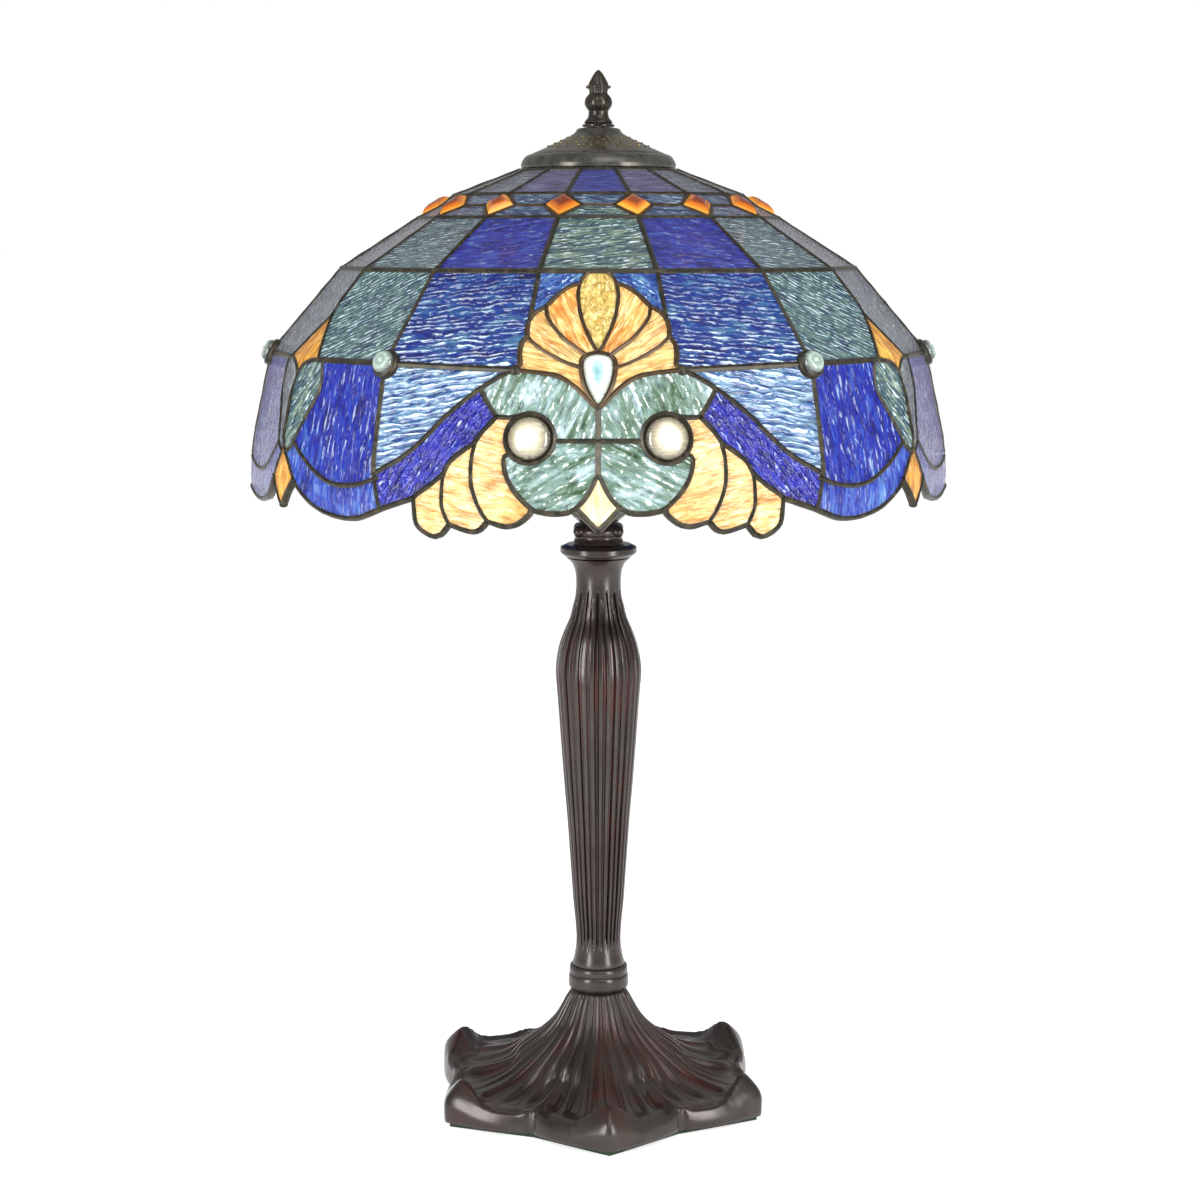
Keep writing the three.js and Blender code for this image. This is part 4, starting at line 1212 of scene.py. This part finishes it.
def build_base():
    """The casting: ribs run down its trumpet into six scooped lobes with upturned tips."""
    piece = Piece()
    steps = len(base_section(BASE_TURN + 15))
    columns = []
    for i in range(BASE_SECTIONS):
        azimuth = 360 * i / BASE_SECTIONS
        section = resampled(base_section(azimuth), steps)
        reach = base_outline(azimuth)
        column = []
        rib = fold(azimuth - BASE_TURN, 360 / RIBS) * RIBS / 360  # 0 on a ridge, 0.5 in a groove
        groove = smooth_step(0.08, 0.36, rib)
        is_second = round((azimuth - BASE_TURN) * RIBS / 360) % 2 == 1
        for k, place in enumerate(section):
            before, after = section[max(k - 1, 0)], section[min(k + 1, steps - 1)]
            along = (after - before).normalized()
            out = Vector((-along.y, along.x))
            if out.y < 0 and place.x < 80:
                out = -out
            share = place.x / reach
            fades = smooth_step(15.9, 17.4, place.x) * smooth_step(0.92, 0.7, share)
            fades *= smooth_step(0.84, 0.68, k / steps)
            depth = RIB_DEPTH * fades * (0.6 + 0.4 * smooth_step(20, 44, place.x))
            if is_second:
                depth *= 0.75 + 0.25 * smooth_step(24, 50, place.x)
            notch_line = hump(180 / LOBES - from_tip(azimuth) - 1.1, 0.7) * smooth_step(0.93, 0.97, share)
            shift = place + out * (-depth * groove - 0.9 * notch_line)
            curl = hump(from_tip(azimuth), 6) * hump(place.y - 23, 5)
            tint = min(1.0, 0.36 * groove * fades + 0.6 * curl)
            column.append(piece.vertex(polar(azimuth, shift.x, shift.y), (azimuth * 1.5, place.x, 0), tint))
        for radius, height in ((reach - 4, FOOT), (reach - 5.5, 9.5), (reach * 0.76, 10.5), (50, 23),
                               (34, 33.5), (22, 50), (12, 58), (12, 65.4)):
            column.append(piece.vertex(polar(azimuth, radius, height), (azimuth * 1.5, radius, 0)))
        columns.append(column)
    bridge(piece, columns, closed=True)
    piece.build("lobed_base", BRONZE, "stand", "bronze_paint", ["base_casting"], sharp=89)


def resampled(points, count):
    """The same path with evenly spread points, so that neighbouring sections match point for point."""
    lengths = [0.0]
    for a, b in zip(points, points[1:]):
        lengths.append(lengths[-1] + (b - a).length)
    out = []
    k = 0
    for i in range(count):
        want = lengths[-1] * i / (count - 1)
        while k < len(points) - 2 and lengths[k + 1] < want:
            k += 1
        share = (want - lengths[k]) / (lengths[k + 1] - lengths[k])
        out.append(points[k].lerp(points[k + 1], min(1.0, max(0.0, share))))
    return out


# ---------------------------------------------------------------- stem

FLUTES = 15
FLUTE_TURN = -3  # a deep groove lies this far off the front
FLUTE_TOP = 304.5
FLUTE_BOTTOM = 92
DEEP, SHALLOW = 1.8, 1.25  # how far the two kinds of groove go in
ROD = 5.4  # radius of the hole for the threaded tube
COLUMN = [
    (15.4, 80.9), (15.6, 81.8), (14.6, 84.6), (13.9, 88.4), (13.2, 93), (13.1, 97), (13.7, 107), (14.9, 119),
    (16.6, 143.5), (18.3, 168), (20.3, 192), (22.1, 216), (23.8, 240), (24.9, 254), (24.8, 262), (23.4, 271),
    (21.3, 278), (18.4, 285), (16.6, 289), (14.9, 296), (13.7, 300.5), (13.1, 306), (13.1, 313), (13.9, 318),
    (15.4, 321.4), (18.4, 324.4)]
COLLAR = [
    (15.6, 66.4), (17.2, 66.8), (17.8, 68.4), (17.8, 71), (17.7, 73.6), (17.3, 74.8), (17, 75.2),
    (17.2, 75.7), (17.3, 77), (17.2, 78.9), (16.9, 79.9), (15.8, 80.5)]
DISC = [
    (ROD, 325.1), (18.6, 325.1), (19.6, 325.4), (21.8, 327.2), (22.2, 327.9), (22.2, 330.4), (21.8, 331),
    (19.6, 332), (18.8, 332.4), (ROD, 332.4)]
NECK = [
    (14.9, 332.8), (14.6, 334), (13.8, 335.6), (13.7, 337.2), (14.3, 338.6), (14.5, 340.6), (13.9, 342.4),
    (11.5, 344.6)]
SCREW_PLACE = (11.2, 9.2, 340.5)  # the cluster's four set screws, each in its own quarter
SCREW_RADIUS = 3.4


def rounded(points, step=0.8):
    return [(p.x, p.y) for p in curve_through([Vector(p) for p in points], step)]


def turned(name, material, body, slot, node, profile, segments=96, sharp=50, turn=Matrix()):
    """A plain turned piece that replaces one CAD node."""
    piece = Piece()
    lathe(piece, profile, segments, turn=turn)
    piece.build(name, material, body, slot, [node], sharp=sharp)


def flute_depth(azimuth, height):
    """Deep and shallow grooves alternate; both end in round arches under the neck."""
    from_deep = fold(azimuth - FLUTE_TURN, 360 / FLUTES)
    from_shallow = 180 / FLUTES - from_deep
    arch = FLUTE_TOP + 1.2 - 1.2 * smooth_step(12, 4, from_shallow)
    ends = smooth_step(arch, arch - 1.4, height) * smooth_step(FLUTE_BOTTOM, FLUTE_BOTTOM + 5, height)
    deep = DEEP * smooth_step(3.9, 1.6, from_deep)
    shallow = SHALLOW * smooth_step(3.3, 1.2, from_shallow) * smooth_step(303, 292, height)
    return ends * (deep + shallow)


def build_column():
    outside = curve_through([Vector(p) for p in COLUMN], 3)
    fine = []
    for a, b in zip(outside, outside[1:]):
        fine.append(a)
        if 296 < a.y < 308:  # closer points where the flutes end
            fine += [a.lerp(b, 1 / 3), a.lerp(b, 2 / 3)]
    profile = [(p.x, p.y) for p in fine + [outside[-1]]] + [(ROD, 324.7), (ROD, 80.9)]

    def relief(azimuth, radius, height):
        if radius < 6:
            return 0.0
        return -flute_depth(azimuth, height) - 0.25 * hump(height - 250, 0.9)

    def tint(azimuth, radius, height):
        return min(1.0, flute_depth(azimuth, height) / 1.4) if radius > 6 else 0.0

    piece = Piece()
    lathe(piece, profile, 450, relief, tint)
    piece.build("fluted_column", BRONZE, "stand", "bronze_paint", ["column"], sharp=50)


def build_stem():
    bronze = (BRONZE, "stand", "bronze_paint")
    turned("turned_collar", *bronze, "collar_ring", rounded(COLLAR) + [(ROD, 80.5), (ROD, 66.4)])
    turned("column_disc", *bronze, "column_cap", DISC, sharp=20)
    neck = Piece()
    lathe(neck, rounded(NECK) + [(ROD, 344.6), (ROD, 332.8)])
    for across in (-SCREW_PLACE[0], SCREW_PLACE[0]):
        for along in (-SCREW_PLACE[1], SCREW_PLACE[1]):
            ball(neck, (across, along, SCREW_PLACE[2]), SCREW_RADIUS, rings=10, segments=18)
    neck.build("neck_ring", *bronze, ["cluster_neck"], sharp=40)


# ---------------------------------------------------------------- sockets and bulbs

def socket_turn(side):
    tilt = Matrix.Rotation(math.radians(side * SOCKET_TILT), 4, "Y")
    return Matrix.Translation((0, 0, SOCKET_HEIGHT)) @ tilt


SOCKET = [
    (5, 26.4), (11.6, 26.4), (12.6, 27), (17.2, 30.6), (18.6, 33.4), (19, 37), (19, 42), (19.3, 43),
    (19.3, 45), (19, 46), (19, 77.4), (18.6, 78), (17.4, 78), (17.4, 38.6), (11, 32.2), (5, 32.2)]
THREAD = [(13.0 + 0.35 * math.cos(math.pi * i), 51 + 1.8 * i) for i in range(11)]
BULB = [
    (12.2, 70.4), (12.6, 72.5), (15, 79), (18.4, 86), (23.2, 94.6), (27.2, 104), (29.6, 113), (30, 120),
    (28.8, 128), (25.4, 136), (19.4, 143), (11.5, 147.4), (4, 148.8), (0.6, 149)]


def build_lights():
    screw = [(1, 45.9), (8, 45.9), (12.4, 49.4)] + THREAD + [(12.7, 70), (12.6, 52), (1, 47.5)]
    outer = rounded(BULB, 3)
    inner = [(max(0.5, r - 1.2), z - (0.9 if z > 130 else 0)) for r, z in reversed(outer)]
    globe = [(11.2, 53), (12.1, 53)] + outer + inner
    for name, side in (("left", -1), ("right", 1)):
        turn = socket_turn(side)
        turned(f"{name}_socket", ANTIQUE, "stand", "antique_metal", f"{name}_socket_shell",
               SOCKET, 64, 25, turn)
        turned(f"{name}_bulb_thread", BRASS, f"{name}_bulb", "brass", f"{name}_bulb_cap",
               screw, 48, turn=turn)
        turned(f"{name}_bulb_globe", OPAL, f"{name}_bulb", "bulb_glass", f"{name}_bulb_glass",
               globe, 64, 60, turn)


# ---------------------------------------------------------------- cap and finial

CAP_LEAVES = 48
CAP_DOME = [(3.4, 569.9), (9, 569.8), (12.1, 569), (12.9, 567.6), (14, 566.4)]
CAP_CONE = [
    (18.4, 564), (21.6, 562.5), (24.8, 561), (28, 559.5), (31.2, 558.1), (34.4, 556.7), (37.4, 555.4),
    (38.1, 554.6)]
CAP_BRIM = [(38.8, 554.9), (41.2, 553.8), (43.1, 551.4), (44, 548.9), (43.8, 547.3)]
CAP_INSIDE = [
    (42.8, 547.3), (41.6, 549.9), (38, 553.2), (27.4, 558), (17.7, 562.5), (12, 566.9), (3.4, 568.6)]
CAP_BEADS = [(17.6, 564.2, 0.8), (21, 562.5, 0.9), (24.4, 560.9, 1.0), (28, 559.3, 1.05)]
BEADS_IN_ROW = 24
FINIAL = [
    (3.4, 572), (7.6, 572), (8.1, 572.5), (7.4, 573.8), (6.2, 575.2), (5.6, 577.2), (5.7, 579.2),
    (6.6, 580.2), (7.8, 582.2), (8, 584), (7.3, 586.4), (5.8, 588.2), (5.2, 589.2), (5.6, 590.8),
    (6, 592.4), (5.6, 594.4), (4.6, 596.4), (3.3, 598.6), (1.8, 600.7), (0.2, 602)]
FINIAL_LEAVES = 8


def build_cap():
    def leaf(azimuth):
        return 0.5 - 0.5 * math.cos(math.radians(azimuth * CAP_LEAVES))

    def lines(azimuth, radius, height):
        return -0.35 * leaf(azimuth) * smooth_step(14, 18, radius) * smooth_step(38, 31, radius)

    def tint(azimuth, radius, height):
        return 0.8 * hump(radius - 24, 7) * leaf(azimuth)

    cap = Piece()
    outline = rounded(CAP_DOME, 1.4) + CAP_CONE + rounded(CAP_BRIM, 1) + CAP_INSIDE
    lathe(cap, outline, 288, lines, tint)
    cap.build("shade_cap", ANTIQUE, "cap", "antique_metal", ["heat_cap"], sharp=50)
    beads = Piece()
    for row, (radius, height, size) in enumerate(CAP_BEADS):
        for i in range(BEADS_IN_ROW):
            azimuth = 360 * (i + 0.5 * (row % 2)) / BEADS_IN_ROW
            turn = Matrix.Rotation(math.radians(azimuth), 4, "Z") @ Matrix.Rotation(math.radians(-24), 4, "X")
            ball(beads, polar(azimuth, radius, height - 0.2), size, (0.8, 1.3, 0.7), turn, 5, 8)
    beads.build("cap_beading", GILT, "cap", "antique_metal")


def build_finial():
    turned("finial_seat", FINIAL_BRONZE, "finial_carrier", "antique_metal", "finial_washer",
           [(3.4, 570.3), (8.6, 570.3), (9.2, 570.7), (9.2, 571.3), (8.6, 571.7), (3.4, 571.7)], 64, 25)

    def leaf(azimuth):
        return 0.5 + 0.5 * math.cos(math.radians(azimuth * FINIAL_LEAVES))

    def leaves(azimuth, radius, height):
        return -0.45 * smooth_step(579, 582, height) * smooth_step(602, 598, height) * leaf(azimuth) ** 3

    finial = Piece()
    lathe(finial, rounded(FINIAL, 0.7) + [(0.2, 582), (3.4, 582)], 96, leaves, lambda a, r, z: 0.5 * leaf(a))
    for i in range(12):
        ball(finial, polar(30 * i, 6.1, 592.4), 0.95)
    finial.build("turned_finial", FINIAL_BRONZE, "finial", "antique_metal", ["finial"], sharp=50)


# ---------------------------------------------------------------- carried-over CAD nodes

NODE_LOOKS = {
    "base_pad": FELT, "base_washer": STEEL, "base_lock_washer": STEEL, "base_nut": STEEL,
    "cord_inlet_bush": NYLON, "central_rod": STEEL, "cluster_body": ANTIQUE, "riser": STEEL,
    "riser_lock_nut": BRASS, "shade_rest_washer": BRASS, "shade_spider": DARK_BRASS,
    "left_socket_insert": PORCELAIN, "right_socket_insert": PORCELAIN,
    "left_bulb_contact": STEEL, "right_bulb_contact": STEEL,
}


def dress_cad_nodes():
    for node, material in NODE_LOOKS.items():
        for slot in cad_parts[node].material_slots:
            slot.material = material


# ---------------------------------------------------------------- studio

CAMERA_PLACE = (0.9, -1400, 509)
CAMERA_DOWN = 8.52  # degrees below level
CAMERA_LENS = 72.84
FLOOR_HALF = 60  # metres: the floor's edge must not show as a horizon


def add_area_light(name, azimuth, distance, height, size, power):
    """A softbox that aims at the middle of the lamp."""
    light = bpy.data.lights.new(name, "AREA")
    light.shape = "RECTANGLE"
    light.size, light.size_y = size
    light.energy = power
    lamp = bpy.data.objects.new(name, light)
    lamp.location = polar(azimuth, distance, height) * MM
    aim = Vector((0, 0, 300)) * MM - lamp.location
    lamp.rotation_euler = aim.to_track_quat("-Z", "Y").to_euler()
    bpy.context.scene.collection.objects.link(lamp)


def build_camera():
    scene = bpy.context.scene
    camera = bpy.data.cameras.new("camera")
    camera.sensor_width = 36
    camera.lens = CAMERA_LENS
    camera_object = bpy.data.objects.new("camera", camera)
    camera_object.location = Vector(CAMERA_PLACE) * MM
    camera_object.rotation_euler = (math.radians(90 - CAMERA_DOWN), 0, 0)
    scene.collection.objects.link(camera_object)
    scene.camera = camera_object


def build_floor():
    mesh = bpy.data.meshes.new("floor")
    corners = [(x * FLOOR_HALF, y * FLOOR_HALF, 0) for x, y in ((-1, -1), (1, -1), (1, 1), (-1, 1))]
    mesh.from_pydata(corners, [], [(0, 1, 2, 3)])
    look = Nodes("studio_floor")
    look.set("Base Color", (0.78, 0.78, 0.78, 1))
    look.set("Roughness", 0.8)
    look.set("Specular IOR Level", 0.1)
    look.glow((1, 1, 1, 1), 0.62)
    mesh.materials.append(look.material)
    floor = bpy.data.objects.new("floor", mesh)
    bpy.context.scene.collection.objects.link(floor)


def build_world():
    """White where the camera looks past the lamp, and half as strong as light."""
    world = bpy.data.worlds.new("studio")
    world.use_nodes = True
    bpy.context.scene.world = world
    tree = world.node_tree
    background = tree.nodes["Background"]
    path = tree.nodes.new("ShaderNodeLightPath")
    strength = tree.nodes.new("ShaderNodeMapRange")
    tree.links.new(path.outputs["Is Camera Ray"], strength.inputs["Value"])
    strength.inputs["To Min"].default_value = 0.5
    strength.inputs["To Max"].default_value = 1.0
    background.inputs["Color"].default_value = (1, 1, 1, 1)
    tree.links.new(strength.outputs[0], background.inputs["Strength"])


def build_studio():
    bpy.context.scene.view_settings.view_transform = "Standard"
    build_camera()
    build_floor()
    build_world()
    add_area_light("left_softbox", -44, 1500, 520, (0.35, 1.3), 21)
    add_area_light("right_softbox", 44, 1500, 520, (0.35, 1.3), 21)
    add_area_light("top_softbox", 20, 1300, 1900, (1.2, 1.2), 12)


build_lower_shade()
build_upper_rows()
build_base()
build_column()
build_stem()
build_lights()
build_cap()
build_finial()
dress_cad_nodes()
build_studio()
